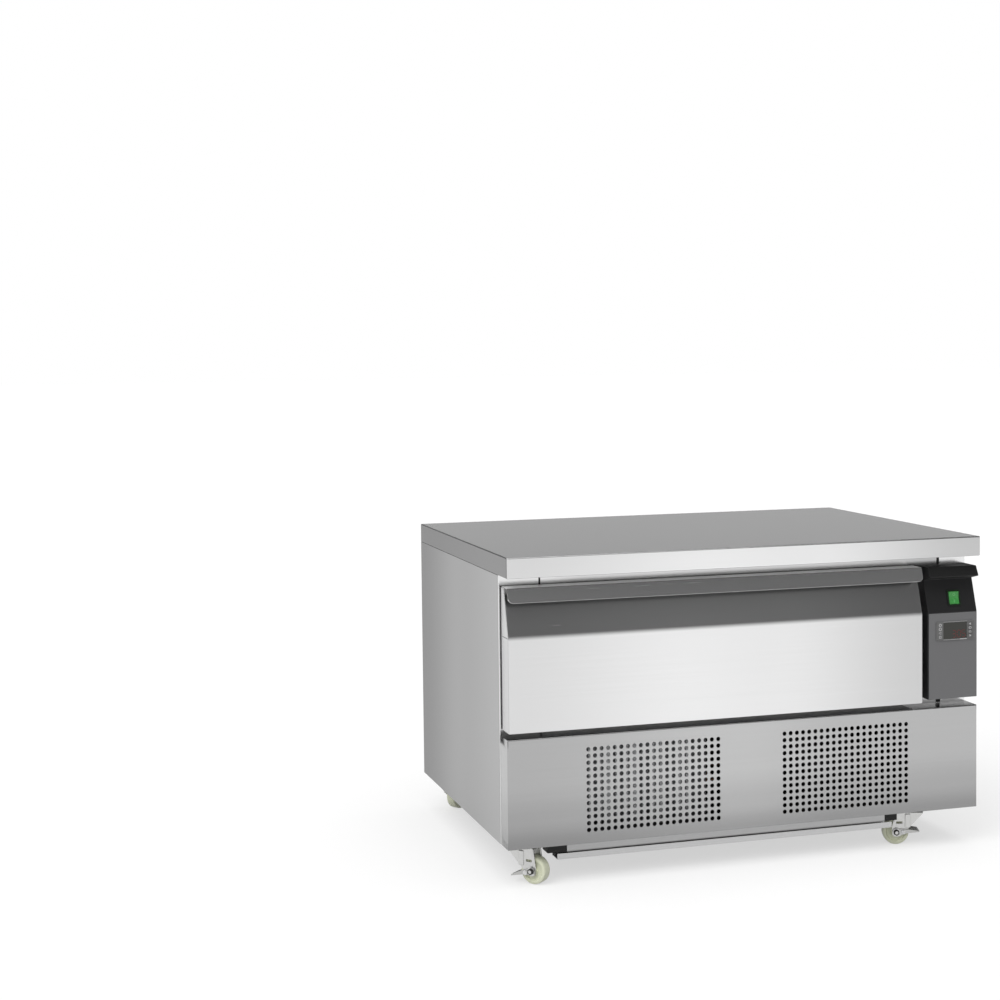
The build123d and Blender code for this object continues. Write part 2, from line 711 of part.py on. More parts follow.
def fan_motor(radius, length, foot, reach, shaft):
    """A motor on a strap. Two legs reach from the strap to the wall that the fan draws through."""
    strap_z = length - 3
    motor = round_bar(radius, length) + Pos(0, 0, strap_z) * Box(16, 2 * reach, 2)
    motor += pin(FAN_SHAFT, -shaft, 1)
    for side in (-1, 1):
        leg = Box(16, 2, strap_z - foot)
        motor += Pos(0, side * (reach - 1), (strap_z + foot) / 2) * leg
    return motor


def fin_pack(length, depth, height, gaps):
    """Plate fins on a tube block: a comb of upright gaps, open to the air, between end plates."""
    pitch = length / gaps
    pack = Box(length, depth, height)
    plane = Plane(origin=(0, -depth / 2, 0), x_dir=(1, 0, 0), z_dir=(0, -1, 0))
    slots = [place * Rectangle(pitch * 0.6, height) for place in GridLocations(pitch, 1, gaps, 1)]
    pack -= extrude(plane * (Sketch() + slots), -depth * 0.6)
    for side in (-1, 1):
        pack += Pos(side * (length / 2 + 1), 0, 0) * Box(2, depth, height)
    return pack


# Evaporator bay
EVAPORATOR_FAN = (300.0, 372.0)
EVAPORATOR_FAN_RADIUS = 40.0
EVAPORATOR_FAN_X = 14.0
EVAPORATOR_MOTOR_X = 21.0
COVER_THICK = 1.5
SLOT_COUNT = 6
EVAPORATOR_SIZE = (210.0, 60.0, 176.0)


def evaporator_fan_axis(distance):
    """A place on the evaporator fan's axis, some way behind the cover, with Z along X."""
    y, z = EVAPORATOR_FAN
    return Pos(across(OPENING_RIGHT) + distance, back(y), z) * Rot(0, 90, 0)


def evaporator_cover():
    """The wall between drawer bay and evaporator bay, with a fan mouth and return slots."""
    x = across(OPENING_RIGHT)
    cover = block(
        (x, x + COVER_THICK), (back(CHAMBER_FRONT), back(CAVITY_BACK)), (OPENING_BOTTOM, OPENING_TOP)
    )
    rear_edge = cover.edges().filter_by(Axis.X).sort_by(Axis.Y)[-2:].sort_by(Axis.Z)[0]
    cover = chamfer(rear_edge, COVE)
    cover -= evaporator_fan_axis(-1) * round_bar(EVAPORATOR_FAN_RADIUS + 3, 2 * COVER_THICK + 2)
    for index in range(SLOT_COUNT):
        cover -= Pos(x, back(490), 322 + index * 18) * Box(6 * COVER_THICK, 110, 8)
    return cover


def evaporator_fan():
    return evaporator_fan_axis(EVAPORATOR_FAN_X) * axial_fan(EVAPORATOR_FAN_RADIUS, 14, 5, 10, 25)


def evaporator_fan_motor():
    foot = COVER_THICK - EVAPORATOR_MOTOR_X
    return evaporator_fan_axis(EVAPORATOR_MOTOR_X) * fan_motor(18, 34, foot, 52, 14)


def evaporator_coil():
    place = Pos(across(OPENING_RIGHT) + 45, back(485), (OPENING_BOTTOM + OPENING_TOP) / 2)
    return place * Rot(0, 0, -90) * fin_pack(*EVAPORATOR_SIZE, 8)


def air_probe():
    """A temperature probe in its clip on the evaporator cover, above the slide."""
    capsule = Pos(across(OPENING_RIGHT) - 5, back(195), 503) * Rot(-90, 0, 0)
    clip = Pos(across(OPENING_RIGHT) - 4, back(215), 503) * Box(8, 10, 9)
    return capsule * round_bar(2.5, 40, PIPE_SIDES) + clip


# Cooling unit on the base pan's well
WELL_FLOOR = BODY_BASE - WELL_DEPTH + SHEET
CONDENSER_X = 275.0
CONDENSER_Y = 86.0
CONDENSER_SIZE = (240.0, 40.0, 176.0)
CONDENSER_FAN_RADIUS = 76.0
CONDENSER_Z = WELL_FLOOR + CONDENSER_SIZE[2] / 2
SHROUD_DEPTH = 40.0
SHROUD_FRONT = CONDENSER_Y + CONDENSER_SIZE[1] / 2
CONDENSER_FAN_Y = 26.0
CONDENSER_MOTOR_Y = 36.0


def condenser_fan_axis(distance):
    """A place on the condenser fan's axis, some way behind the coil, with Z along Y."""
    return Pos(across(CONDENSER_X), back(SHROUD_FRONT + distance), CONDENSER_Z) * Rot(-90, 0, 0)


def condenser_coil():
    place = Pos(across(CONDENSER_X), back(CONDENSER_Y), CONDENSER_Z)
    return place * fin_pack(*CONDENSER_SIZE, 14)


def condenser_shroud():
    """A sheet duct behind the coil with the round mouth that the fan turns in."""
    half = CONDENSER_SIZE[0] / 2
    x = (across(CONDENSER_X) - half, across(CONDENSER_X) + half)
    y = (back(SHROUD_FRONT), back(SHROUD_FRONT + SHROUD_DEPTH))
    z = (WELL_FLOOR, WELL_FLOOR + CONDENSER_SIZE[2])
    duct = block(x, y, z)
    duct -= block((x[0] + SHEET, x[1] - SHEET), (y[0] - 1, y[1] - SHEET), (z[0] + SHEET, z[1] - SHEET))
    mouth = round_bar(CONDENSER_FAN_RADIUS + 3, 10)
    return duct - condenser_fan_axis(SHROUD_DEPTH - 5) * mouth


def condenser_fan():
    return condenser_fan_axis(CONDENSER_FAN_Y) * axial_fan(CONDENSER_FAN_RADIUS, 22, 4, 12, 20)


def condenser_fan_motor():
    foot = SHROUD_DEPTH - CONDENSER_MOTOR_Y
    return condenser_fan_axis(CONDENSER_MOTOR_Y) * fan_motor(28, 44, foot, 85, 18)


COMPRESSOR_X = 560.0
COMPRESSOR_Y = 330.0
COMPRESSOR_HALF = (92.0, 68.0)
COMPRESSOR_HEIGHT = 150.0
FOOT_PLACE = (85.0, 62.0)
FOOT_HEIGHT = 18.0
DISCHARGE_Z = 150.0
SUCTION_Z = 190.0
STUB_RADIUS = 6.0


def compressor_shell(grow, height):
    outline = scale(RegularPolygon(1, ROUND_SIDES), (COMPRESSOR_HALF[0] + grow, COMPRESSOR_HALF[1] + grow, 1))
    return extrude(outline, height)


def compressor():
    """A sealed compressor: a domed shell with its welded seam, on a foot plate."""
    shell = compressor_shell(0, COMPRESSOR_HEIGHT)
    shell = chamfer(shell.edges().group_by(Axis.Z)[-1], 26)
    seam = Pos(0, 0, 66) * compressor_shell(4, 5)
    plate = Pos(0, 0, 1.5) * Box(2 * FOOT_PLACE[0] + 30, 2 * FOOT_PLACE[1] + 30, 3)
    plate = chamfer(plate.edges().filter_by(Axis.Z), 12)
    terminals = Pos(-COMPRESSOR_HALF[0] - 8, 0, 60) * Box(36, 60, 56)
    low = WELL_FLOOR + FOOT_HEIGHT
    discharge = Pos(-20, -COMPRESSOR_HALF[1] - 6, DISCHARGE_Z - low) * Rot(-90, 0, 0)
    suction = Pos(COMPRESSOR_HALF[0] - 14, 0, SUCTION_Z - low) * Rot(0, 90, 0)
    stubs = discharge * round_bar(STUB_RADIUS, 20, PIPE_SIDES) + suction * round_bar(
        STUB_RADIUS, 20, PIPE_SIDES
    )
    place = Pos(across(COMPRESSOR_X), back(COMPRESSOR_Y), low)
    return place * (shell + seam + plate + terminals + stubs)


def compressor_feet():
    """Rubber feet between the foot plate and the well's floor."""
    feet = [
        Pos(across(COMPRESSOR_X) + sx * FOOT_PLACE[0], back(COMPRESSOR_Y) + sy * FOOT_PLACE[1], WELL_FLOOR)
        * round_bar(11, FOOT_HEIGHT, PIPE_SIDES)
        for sx in (-1, 1)
        for sy in (-1, 1)
    ]
    return Compound(children=feet)


def refrigerant_lines():
    """The discharge pipe to the condenser, and the suction pipe from the evaporator."""
    side = across(CONDENSER_X) + CONDENSER_SIZE[0] / 2 + 2
    start = (across(COMPRESSOR_X) - 20, back(COMPRESSOR_Y) - COMPRESSOR_HALF[1] - 6, DISCHARGE_Z)
    discharge = pipe(
        [
            start,
            (start[0], back(200), DISCHARGE_Z),
            (side + 24, back(200), DISCHARGE_Z),
            (side + 24, back(CONDENSER_Y), DISCHARGE_Z),
            (side, back(CONDENSER_Y), DISCHARGE_Z),
        ],
        LINE_RADIUS,
    )
    x, y = across(LINE_PLACE[0]), back(LINE_PLACE[1])
    coil_end = back(485) - EVAPORATOR_SIZE[0] / 2 - 2
    suction = pipe(
        [
            (x, coil_end, OPENING_BOTTOM + 30),
            (x, y, OPENING_BOTTOM + 30),
            (x, y, SUCTION_Z),
            (x, back(COMPRESSOR_Y), SUCTION_Z),
            (across(COMPRESSOR_X) + COMPRESSOR_HALF[0] + 6, back(COMPRESSOR_Y), SUCTION_Z),
        ],
        LINE_RADIUS,
    )
    return Compound(children=[discharge, suction])


def filter_drier():
    """A copper drier lying in the liquid line beside the condenser's fan."""
    drier = chamfer(round_bar(10, 90, PIN_SIDES).edges().filter_by(Axis.Z, reverse=True), 5)
    drier += Pos(0, 0, -20) * round_bar(3, 130, PIPE_SIDES)
    return Pos(across(136), back(210), WELL_FLOOR + 12) * Rot(-90, 0, 0) * drier


def condensate_tray():
    x = (across(765), across(885))
    y = (back(370), back(560))
    z = (BODY_BASE + SHEET, BODY_BASE + SHEET + 34)
    tray = block(x, y, z)
    return tray - block((x[0] + 2, x[1] - 2), (y[0] + 2, y[1] - 2), (z[0] + 2, z[1] + 1))


# Mains inlet on the rear panel
INLET_X = 80.0
INLET_Z = 120.0
INLET_WIDTH = 50.0
INLET_HEIGHT = 32.0
INLET_FLANGE = 2.5
INLET_DEPTH = 20.0


def power_inlet():
    """A flanged appliance inlet with three flat pins in its well."""
    y = BACK - REAR_RECESS + SHEET
    flange = Pos(0, INLET_FLANGE / 2, 0) * Box(INLET_WIDTH, INLET_FLANGE, INLET_HEIGHT)
    case = Pos(0, -INLET_DEPTH / 2, 0) * Box(INLET_WIDTH - 4.4, INLET_DEPTH, INLET_HEIGHT - 4.4)
    well = Pos(0, -INLET_DEPTH / 2 + 4, 0) * Box(25, INLET_DEPTH + 2, 17)
    pins = [Pos(x, -INLET_DEPTH / 2, z) * Box(2, INLET_DEPTH - 2, 4) for x, z in ((-7, -2), (0, 2), (7, -2))]
    return Pos(across(INLET_X), y, INLET_Z) * (flange + case - well + pins)


# Castors
WHEEL_RADIUS = 25.0
WHEEL_WIDTH = 20.0
WHEEL_EDGE = 2.0
WHEEL_SIDES = 20
CASTOR_TRAIL = 23.0
PLATE_SIZE = 54.0
PLATE_THICK = 2.5
RACE_RADIUS = 16.0
KINGPIN_RADIUS = 4.0
FORK_TOP = 64.0
FORK_HALF = 13.5
FORK_METAL = 2.5
RACE_GAP = 0.3
AXLE_RADIUS = 3.5
AXLE_PLAY = 0.05
BOLT_HEAD = 5.0
PEDAL_METAL = 1.8
PEDAL_REACH = (27.0, 44.0)

# X from the left side, Y from the worktop's front, direction of the trail, brake pedal
CASTORS = {
    "front_left": (44.0, 58.0, -48.0, True),
    "front_right": (806.0, 58.0, 162.0, True),
    "rear_left": (44.0, 600.0, 35.0, False),
    "rear_right": (806.0, 600.0, 100.0, False),
}
PEDAL_DROP = {"front_left": 17.0, "front_right": 0.0}


def castor_place(name):
    x, y, turn, braked = CASTORS[name]
    return Pos(across(x), back(y), 0) * Rot(0, 0, turn)


def axle_place(name):
    """The wheel's axle, with Z along it and the trail still along X."""
    return castor_place(name) * Pos(CASTOR_TRAIL, 0, WHEEL_RADIUS) * Rot(90, 0, 0)


def castor_plates():
    """Top plates under the base pan, each with its ball race and kingpin."""
    plates = []
    for x, y, turn, braked in CASTORS.values():
        plate = Pos(0, 0, BODY_BASE - PLATE_THICK / 2) * Box(PLATE_SIZE, PLATE_SIZE, PLATE_THICK)
        plate = chamfer(plate.edges().filter_by(Axis.Z), 5)
        low = FORK_TOP + RACE_GAP
        race = Pos(0, 0, low) * round_bar(RACE_RADIUS, BODY_BASE - PLATE_THICK - low, PIN_SIDES)
        kingpin = pin(KINGPIN_RADIUS, FORK_TOP - FORK_METAL - 1, low + 1)
        plates.append(Pos(across(x), back(y), 0) * (plate + race + kingpin))
    return Compound(children=plates)


def fork_arm():
    """One side of a pressed fork: it narrows down a slanted front edge to the axle."""
    outline = Polyline(
        (-28, FORK_TOP), (26, FORK_TOP), (31, 30), (30, 19), (24, 15.5), (17, 15.5), (-28, 60.5), close=True
    )
    rib = Polyline((-4, 60), (7, 60), (7, 32), (-4, 43), close=True)
    plane = Plane(origin=(0, FORK_HALF, 0), x_dir=(1, 0, 0), z_dir=(0, -1, 0))
    arm = extrude(plane * make_face(outline), FORK_METAL)
    arm -= Pos(17, FORK_HALF, 43) * Box(12, 4 * FORK_METAL, 4.5)
    return arm + extrude(plane * make_face(rib), -1)


def castor_fork(name):
    """A fork with two arms under a crown, and the axle bolt with its head and nut."""
    braked = CASTORS[name][3]
    arm = fork_arm()
    crown = block((-28, 26), (-FORK_HALF, FORK_HALF), (FORK_TOP - FORK_METAL, FORK_TOP))
    fork = crown + arm + mirror(arm, Plane.XZ)
    fork -= round_bar(KINGPIN_RADIUS + 0.1, 2 * FORK_TOP, PIN_SIDES)
    outer = FORK_HALF + (PEDAL_METAL + 2 * CLEARANCE if braked else 0)
    stem = pin(AXLE_RADIUS, -outer, outer)
    head = Pos(0, 0, outer) * round_bar(6, BOLT_HEAD, 6)
    nut = Pos(0, 0, -outer - BOLT_HEAD) * round_bar(6, BOLT_HEAD, 6)
    bolt = Pos(CASTOR_TRAIL, 0, WHEEL_RADIUS) * Rot(90, 0, 0) * (stem + head + nut)
    return castor_place(name) * (fork + bolt)


def castor_wheel(name):
    """A solid nylon wheel with eased edges."""
    wheel = round_bar(WHEEL_RADIUS, WHEEL_WIDTH, WHEEL_SIDES)
    wheel = chamfer(wheel.edges().filter_by(Axis.Z, reverse=True), WHEEL_EDGE)
    wheel -= Pos(0, 0, -1) * round_bar(AXLE_RADIUS + AXLE_PLAY, WHEEL_WIDTH + 2, PIN_SIDES)
    turn = Rot(0, 0, 180 / WHEEL_SIDES)
    return axle_place(name) * Pos(0, 0, -WHEEL_WIDTH / 2) * turn * wheel


def brake_pedal(name):
    """A foot brake: a tread plate in front of the wheel, on two cheeks that turn on the axle."""
    near, far = PEDAL_REACH
    inner = FORK_HALF + CLEARANCE
    outer = inner + PEDAL_METAL
    cheek = extrude(
        make_face(
            Polyline((7, -5), (7, 5), (-10, 6), (-near, 4.5), (-far, 2), (-far, 0), (-near, -4.5), (-10, -6), close=True)
        ),
        PEDAL_METAL,
    )
    tread = block((-far, -near), (0, 2), (-outer, outer))
    pedal = Pos(0, 0, inner) * cheek + Pos(0, 0, -outer) * cheek + tread
    pedal -= Pos(0, 0, -2 * outer) * round_bar(AXLE_RADIUS + AXLE_PLAY, 4 * outer, PIN_SIDES)
    return axle_place(name) * Rot(0, 0, PEDAL_DROP[name]) * pedal


def save_cabinet():
    save(worktop(), "worktop")
    save(core_block(), "worktop_core")
    save(side_panel(-1, OPENING_LEFT), "side_panel_left")
    save(side_panel(1, WIDTH - SEAM_RIGHT), "side_panel_right")
    save(rear_panel(), "rear_panel")
    save(frame_top_rail(), "frame_top_rail")
    save(frame_sill(), "frame_sill")
    save(inner_liner(), "inner_liner")
    save(insulation(), "insulation")
    save(drain_pipe(), "drain_pipe")
    save(base_pan(), "base_pan")
    save(floor_rails(), "floor_rails")
    save(lower_front_panel(), "lower_front_panel")


def save_controls():
    save(control_housing(), "control_housing")
    save(control_fascia(), "control_fascia")
    save(controller_body(), "controller_body")
    save(controller_lens(), "controller_lens")
    for index in range(KEY_COUNT):
        save(controller_key(index), f"controller_key_{index + 1}")
    save(switch_body(), "switch_body")
    save(switch_rocker(), "switch_rocker")


def save_drawer():
    save(drawer_front(), "drawer_front")
    save(drawer_back(), "drawer_back")
    save(drawer_insulation(), "drawer_insulation")
    save(drawer_grip(), "drawer_grip")
    save(drawer_gasket(), "drawer_gasket")
    save(drawer_frame(), "drawer_frame")
    for member in ("cabinet", "drawer"):
        pair = [slide_member(side, member) for side in (-1, 1)]
        save(Compound(children=pair), f"slide_{member}_members")
    save(slide_member(-1, "middle"), "slide_middle_left")
    save(slide_member(1, "middle"), "slide_middle_right")


def save_cooling():
    save(evaporator_cover(), "evaporator_cover")
    save(evaporator_coil(), "evaporator_coil")
    save(evaporator_fan(), "evaporator_fan")
    save(evaporator_fan_motor(), "evaporator_fan_motor")
    save(air_probe(), "air_probe")
    save(condenser_coil(), "condenser_coil")
    save(condenser_shroud(), "condenser_shroud")
    save(condenser_fan(), "condenser_fan")
    save(condenser_fan_motor(), "condenser_fan_motor")
    save(compressor(), "compressor")
    save(compressor_feet(), "compressor_feet")
    save(refrigerant_lines(), "refrigerant_lines")
    save(filter_drier(), "filter_drier")
    save(condensate_tray(), "condensate_tray")
    save(power_inlet(), "power_inlet")


def save_castors():
    save(castor_plates(), "castor_plates")
    for name in CASTORS:
        save(castor_fork(name), f"castor_fork_{name}")
        save(castor_wheel(name), f"castor_wheel_{name}")
    for name in PEDAL_DROP:
        save(brake_pedal(name), f"brake_pedal_{name}")


os.makedirs("parts", exist_ok=True)
save_cabinet()
save_controls()
save_drawer()
save_cooling()
save_castors()
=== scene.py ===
# %% [markdown]
# A refrigerated drawer counter, dressed for its photograph
#
# The construction is already solid geometry at real size: casing, drawer on its slides,
# control column, cooling unit and castors. This lesson gives every surface its finish and
# remodels the pieces whose edges and holes the eye rests on. Everything is in metres, with
# the floor at zero, the drawer facing -Y and +Z up.

# %% Load the construction
import json
import math

import bmesh
import bpy
from mathutils import Matrix, Vector


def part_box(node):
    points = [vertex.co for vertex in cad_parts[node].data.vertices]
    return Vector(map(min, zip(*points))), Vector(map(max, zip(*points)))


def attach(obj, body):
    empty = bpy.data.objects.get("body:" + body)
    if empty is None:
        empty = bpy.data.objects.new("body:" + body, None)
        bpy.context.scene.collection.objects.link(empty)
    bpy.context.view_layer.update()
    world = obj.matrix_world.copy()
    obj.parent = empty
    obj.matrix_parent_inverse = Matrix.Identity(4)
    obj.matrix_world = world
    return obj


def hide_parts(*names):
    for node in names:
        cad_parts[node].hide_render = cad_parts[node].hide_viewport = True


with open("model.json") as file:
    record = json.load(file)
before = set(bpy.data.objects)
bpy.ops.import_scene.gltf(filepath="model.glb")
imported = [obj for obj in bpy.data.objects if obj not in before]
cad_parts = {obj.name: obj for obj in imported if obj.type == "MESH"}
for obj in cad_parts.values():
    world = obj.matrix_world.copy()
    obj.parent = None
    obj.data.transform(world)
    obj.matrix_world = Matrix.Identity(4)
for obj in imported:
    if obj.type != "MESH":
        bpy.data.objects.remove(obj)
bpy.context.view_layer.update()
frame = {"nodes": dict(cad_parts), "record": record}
nodes = frame["nodes"]
MM = 0.001

# %% [markdown]
# Camera
#
# A photograph fixes its own camera: the edges of the worktop and the panels run to vanishing
# points, and those give the focal length, the turn and the height. The values here come from
# such a fit. The lens shift stands for the crop of the picture. The camera could also be aimed
# by eye, but a fitted one lets every edge be compared with the photograph to within a pixel.

# %% The camera of the photograph
CAMERA_PLACE = Vector((-1.3466, -3.4523, 0.9739))
CAMERA_YAW = 17.431
CAMERA_PITCH = 2.849
CAMERA_ROLL = -0.5775
LENS_SHIFT = (-0.06, -0.07)
FOCAL_PIXELS = 1875.74
IMAGE_PIXELS = 1000
SENSOR = 36.0


def turned(degrees, axis):
    return Matrix.Rotation(math.radians(degrees), 4, axis)


def add_object(name, data):
    made = bpy.data.objects.new(name, data)
    bpy.context.scene.collection.objects.link(made)
    return made


def add_camera():
    data = bpy.data.cameras.new("photo_camera")
    data.sensor_width = SENSOR
    data.lens = SENSOR * FOCAL_PIXELS / IMAGE_PIXELS
    data.shift_x, data.shift_y = LENS_SHIFT
    camera = add_object("photo_camera", data)
    look = turned(-CAMERA_YAW, "Z") @ turned(90 - CAMERA_PITCH, "X") @ turned(CAMERA_ROLL, "Z")
    camera.matrix_world = Matrix.Translation(CAMERA_PLACE) @ look
    bpy.context.scene.camera = camera
    print("lens", round(data.lens, 2), "mm")


add_camera()

# %% [markdown]
# Studio
#
# Steel shows what stands round it more than its own colour. The photograph was taken in a
# white studio under a dark ceiling: upright faces reflect the white and are nearly white
# themselves, and the faces that lean back reflect the ceiling and are dark. So the world has
# three levels. The camera sees plain white. Reflections see white at the horizon, which falls
# off to dark grey overhead. Everything else gets an even soft light.

# %% World
WHITE_UP_TO = 1.0
DARK_FROM = 15.0
CEILING_LIGHT = 0.10
SOFT_LIGHT = 0.50


def adjust(node, **settings):
    """Sets attributes of a node and, by name, the values of its inputs."""
    for name, value in settings.items():
        if hasattr(node, name):
            setattr(node, name, value)
        else:
            node.inputs[name.replace("_", " ")].default_value = value
    return node


def node_of(tree, kind, **settings):
    return adjust(tree.nodes.new(kind), **settings)


def either_ray(tree, *outputs):
    """One where the ray is any of the kinds named."""
    ray = node_of(tree, "ShaderNodeLightPath")
    last = ray.outputs[outputs[0]]
    for name in outputs[1:]:
        most = node_of(tree, "ShaderNodeMath", operation="MAXIMUM")
        tree.links.new(last, most.inputs[0])
        tree.links.new(ray.outputs[name], most.inputs[1])
        last = most.outputs[0]
    return last


def add_world():
    world = bpy.data.worlds.new("studio")
    world.use_nodes = True
    tree = world.node_tree
    place = node_of(tree, "ShaderNodeTexCoord")
    split = node_of(tree, "ShaderNodeSeparateXYZ")
    level = node_of(
        tree, "ShaderNodeMapRange", interpolation_type="SMOOTHSTEP",
        From_Min=math.sin(math.radians(WHITE_UP_TO)), To_Min=1.0,
        From_Max=math.sin(math.radians(DARK_FROM)), To_Max=CEILING_LIGHT,
    )
    reflected = node_of(tree, "ShaderNodeMix", data_type="FLOAT", A=SOFT_LIGHT)
    seen = node_of(tree, "ShaderNodeMix", data_type="FLOAT", B=1.0)
    link = tree.links.new
    link(place.outputs["Generated"], split.inputs[0])
    link(split.outputs["Z"], level.inputs["Value"])
    link(either_ray(tree, "Is Glossy Ray", "Is Transmission Ray"), reflected.inputs["Factor"])
    link(level.outputs["Result"], reflected.inputs["B"])
    link(either_ray(tree, "Is Camera Ray"), seen.inputs["Factor"])
    link(reflected.outputs["Result"], seen.inputs["A"])
    link(seen.outputs["Result"], tree.nodes["Background"].inputs["Color"])
    bpy.context.scene.world = world


add_world()
bpy.context.scene.view_settings.view_transform = "Standard"
print("world white up to", WHITE_UP_TO, "degrees")

# %% Floor
FLOOR_SIZE = 80.0
FLOOR_GLOW = 0.58
FLOOR_TONE = 0.43


def new_material(name, **settings):
    """A material with its shader's inputs set. Returns it, its node tree and the shader."""
    material = bpy.data.materials.new(name)
    material.use_nodes = True
    tree = material.node_tree
    return material, tree, adjust(tree.nodes["Principled BSDF"], **settings)


def object_of(name, bm):
    mesh = bpy.data.meshes.new(name)
    bm.to_mesh(mesh)
    bm.free()
    return add_object(name, mesh)


def add_floor():
    """A pale floor. The camera and reflections see it glow a little, so that it meets the
    white of the world, and the rest of its tone comes from the lamps and keeps the shadow."""
    bm = bmesh.new()
    bmesh.ops.create_grid(bm, x_segments=1, y_segments=1, size=FLOOR_SIZE / 2)
    floor = object_of("floor", bm)
    material, tree, shader = new_material(
        "studio_floor", Base_Color=(FLOOR_TONE, FLOOR_TONE, FLOOR_TONE, 1), Roughness=1.0,
        Specular_IOR_Level=0.0, Emission_Color=(1, 1, 1, 1),
    )
    glow = node_of(tree, "ShaderNodeMath", operation="MULTIPLY")
    glow.inputs[1].default_value = FLOOR_GLOW
    seen = either_ray(tree, "Is Camera Ray", "Is Glossy Ray", "Is Transmission Ray")
    tree.links.new(seen, glow.inputs[0])
    tree.links.new(glow.outputs[0], shader.inputs["Emission Strength"])
    floor.data.materials.append(material)


add_floor()

# %% Lamps
LAMPS = {
    "overhead": ((-0.4, -0.8, 4.0), 60, 1.2),
    "left": ((-3.2, -2.2, 3.2), 40, 0.9),
}


def add_lamp(name, place, width, strength):
    """A wide distant lamp that shines from a place towards the middle of the floor."""
    data = bpy.data.lights.new(name, "SUN")
    data.angle = math.radians(width)
    data.energy = strength
    lamp = add_object(name, data)
    lamp.location = place
    lamp.rotation_euler = (-Vector(place)).to_track_quat("-Z", "Y").to_euler()


for name, settings in LAMPS.items():
    add_lamp(name, *settings)
print("lamps", len(LAMPS))

# %% [markdown]
# Brushed steel
#
# Stainless sheet is ground with a belt, which leaves thousands of fine parallel scratches.
# Each is a little lighter or darker than its neighbour and tips the light across the grain.
# A picture of scratches would need an image, and noise that is stretched along the grain gives
# the same look at any size. Two sizes of it are mixed: hair-fine lines that a close look
# shows, and faint streaks that are seen from a few metres.

# %% Steel finishes
HAIR_LINES = 900.0
STREAKS = 140.0
STREAK_SHARE = 0.35
GRAIN_LONG = 2.5
GRAIN_STOPS = (0.3, 0.7)
STEEL_GLOSS = (-0.02, 0.03)
STEEL_RELIEF = 0.0004
COOL_LIGHTS = 1.004
# The Mix node's colours: two sockets in and one out.
COLOR_A, COLOR_B, COLOR_OUT = 6, 7, 2
FINISHES = {}


def grain_noise(tree, place, axis, fineness):
    """Noise that is long along one axis and fine across it."""
    scale = [GRAIN_LONG if index == axis else fineness for index in range(3)]
    stretch = node_of(tree, "ShaderNodeMapping", Scale=scale)
    noise = node_of(tree, "ShaderNodeTexNoise", Scale=1.0, Detail=4.0, Roughness=0.7)
    tree.links.new(place.outputs["Object"], stretch.inputs["Vector"])
    tree.links.new(stretch.outputs[0], noise.inputs["Vector"])
    return noise.outputs["Fac"]


def painted_light_ramp(tree, place, stops, axis):
    """Painted light and shade: a slow change of tone along one axis, from (position in metres,
    factor) pairs.
    """
    first, last = stops[0][0], stops[-1][0]
    split = node_of(tree, "ShaderNodeSeparateXYZ")
    spread = node_of(tree, "ShaderNodeMapRange", From_Min=first, From_Max=last)
    ramp = node_of(tree, "ShaderNodeValToRGB")
    ramp.color_ramp.interpolation = "EASE"
    elements = ramp.color_ramp.elements
    while len(elements) < len(stops):
        elements.new(0.5)
    for element, (position, factor) in zip(elements, stops):
        element.position = (position - first) / (last - first)
        element.color = (factor, factor, factor, 1)
    tree.links.new(place.outputs["Object"], split.inputs[0])
    tree.links.new(split.outputs["XYZ"[axis]], spread.inputs["Value"])
    tree.links.new(spread.outputs["Result"], ramp.inputs["Fac"])
    return ramp.outputs["Color"]


def surface(tree, shader, color, gloss_grain, relief_grain, rough, gloss, bump, depth):
    """Joins a colour, a gloss that varies a little and a relief to a shader."""
    low, high = [rough + change for change in gloss]
    spread = node_of(tree, "ShaderNodeMapRange", To_Min=low, To_Max=high)
    relief = node_of(tree, "ShaderNodeBump", Strength=bump, Distance=depth)
    link = tree.links.new
    link(color, shader.inputs["Base Color"])
    link(gloss_grain, spread.inputs["Value"])
    link(spread.outputs["Result"], shader.inputs["Roughness"])
    link(relief_grain, relief.inputs["Height"])
    link(relief.outputs["Normal"], shader.inputs["Normal"])


def steel(name, tone, axis, rough=0.26, contrast=0.035, bump=0.004, painted_light_ramps=()):
    FINISHES[name], tree, shader = new_material(name, Metallic=1.0)
    link = tree.links.new
    place = node_of(tree, "ShaderNodeTexCoord")
    fine = grain_noise(tree, place, axis, HAIR_LINES)
    both = node_of(tree, "ShaderNodeMix", data_type="FLOAT", Factor=STREAK_SHARE)
    link(fine, both.inputs["A"])
    link(grain_noise(tree, place, axis, STREAKS), both.inputs["B"])
    grain = both.outputs["Result"]
    tones = node_of(tree, "ShaderNodeValToRGB")
    link(grain, tones.inputs["Fac"])
    low, high = tone * (1 - contrast), tone * (1 + contrast)
    dark, light = tones.color_ramp.elements
    dark.color, light.color = (low, low, low, 1), (high, high, high * COOL_LIGHTS, 1)
    dark.position, light.position = GRAIN_STOPS
    color = tones.outputs["Color"]
    for way, stops in painted_light_ramps:
        product = node_of(
            tree, "ShaderNodeMix", data_type="RGBA", blend_type="MULTIPLY", clamp_result=True,
            Factor=1.0,
        )
        link(color, product.inputs[COLOR_A])
        link(painted_light_ramp(tree, place, stops, way), product.inputs[COLOR_B])
        color = product.outputs[COLOR_OUT]
    surface(tree, shader, color, grain, fine, rough, STEEL_GLOSS, bump, STEEL_RELIEF)


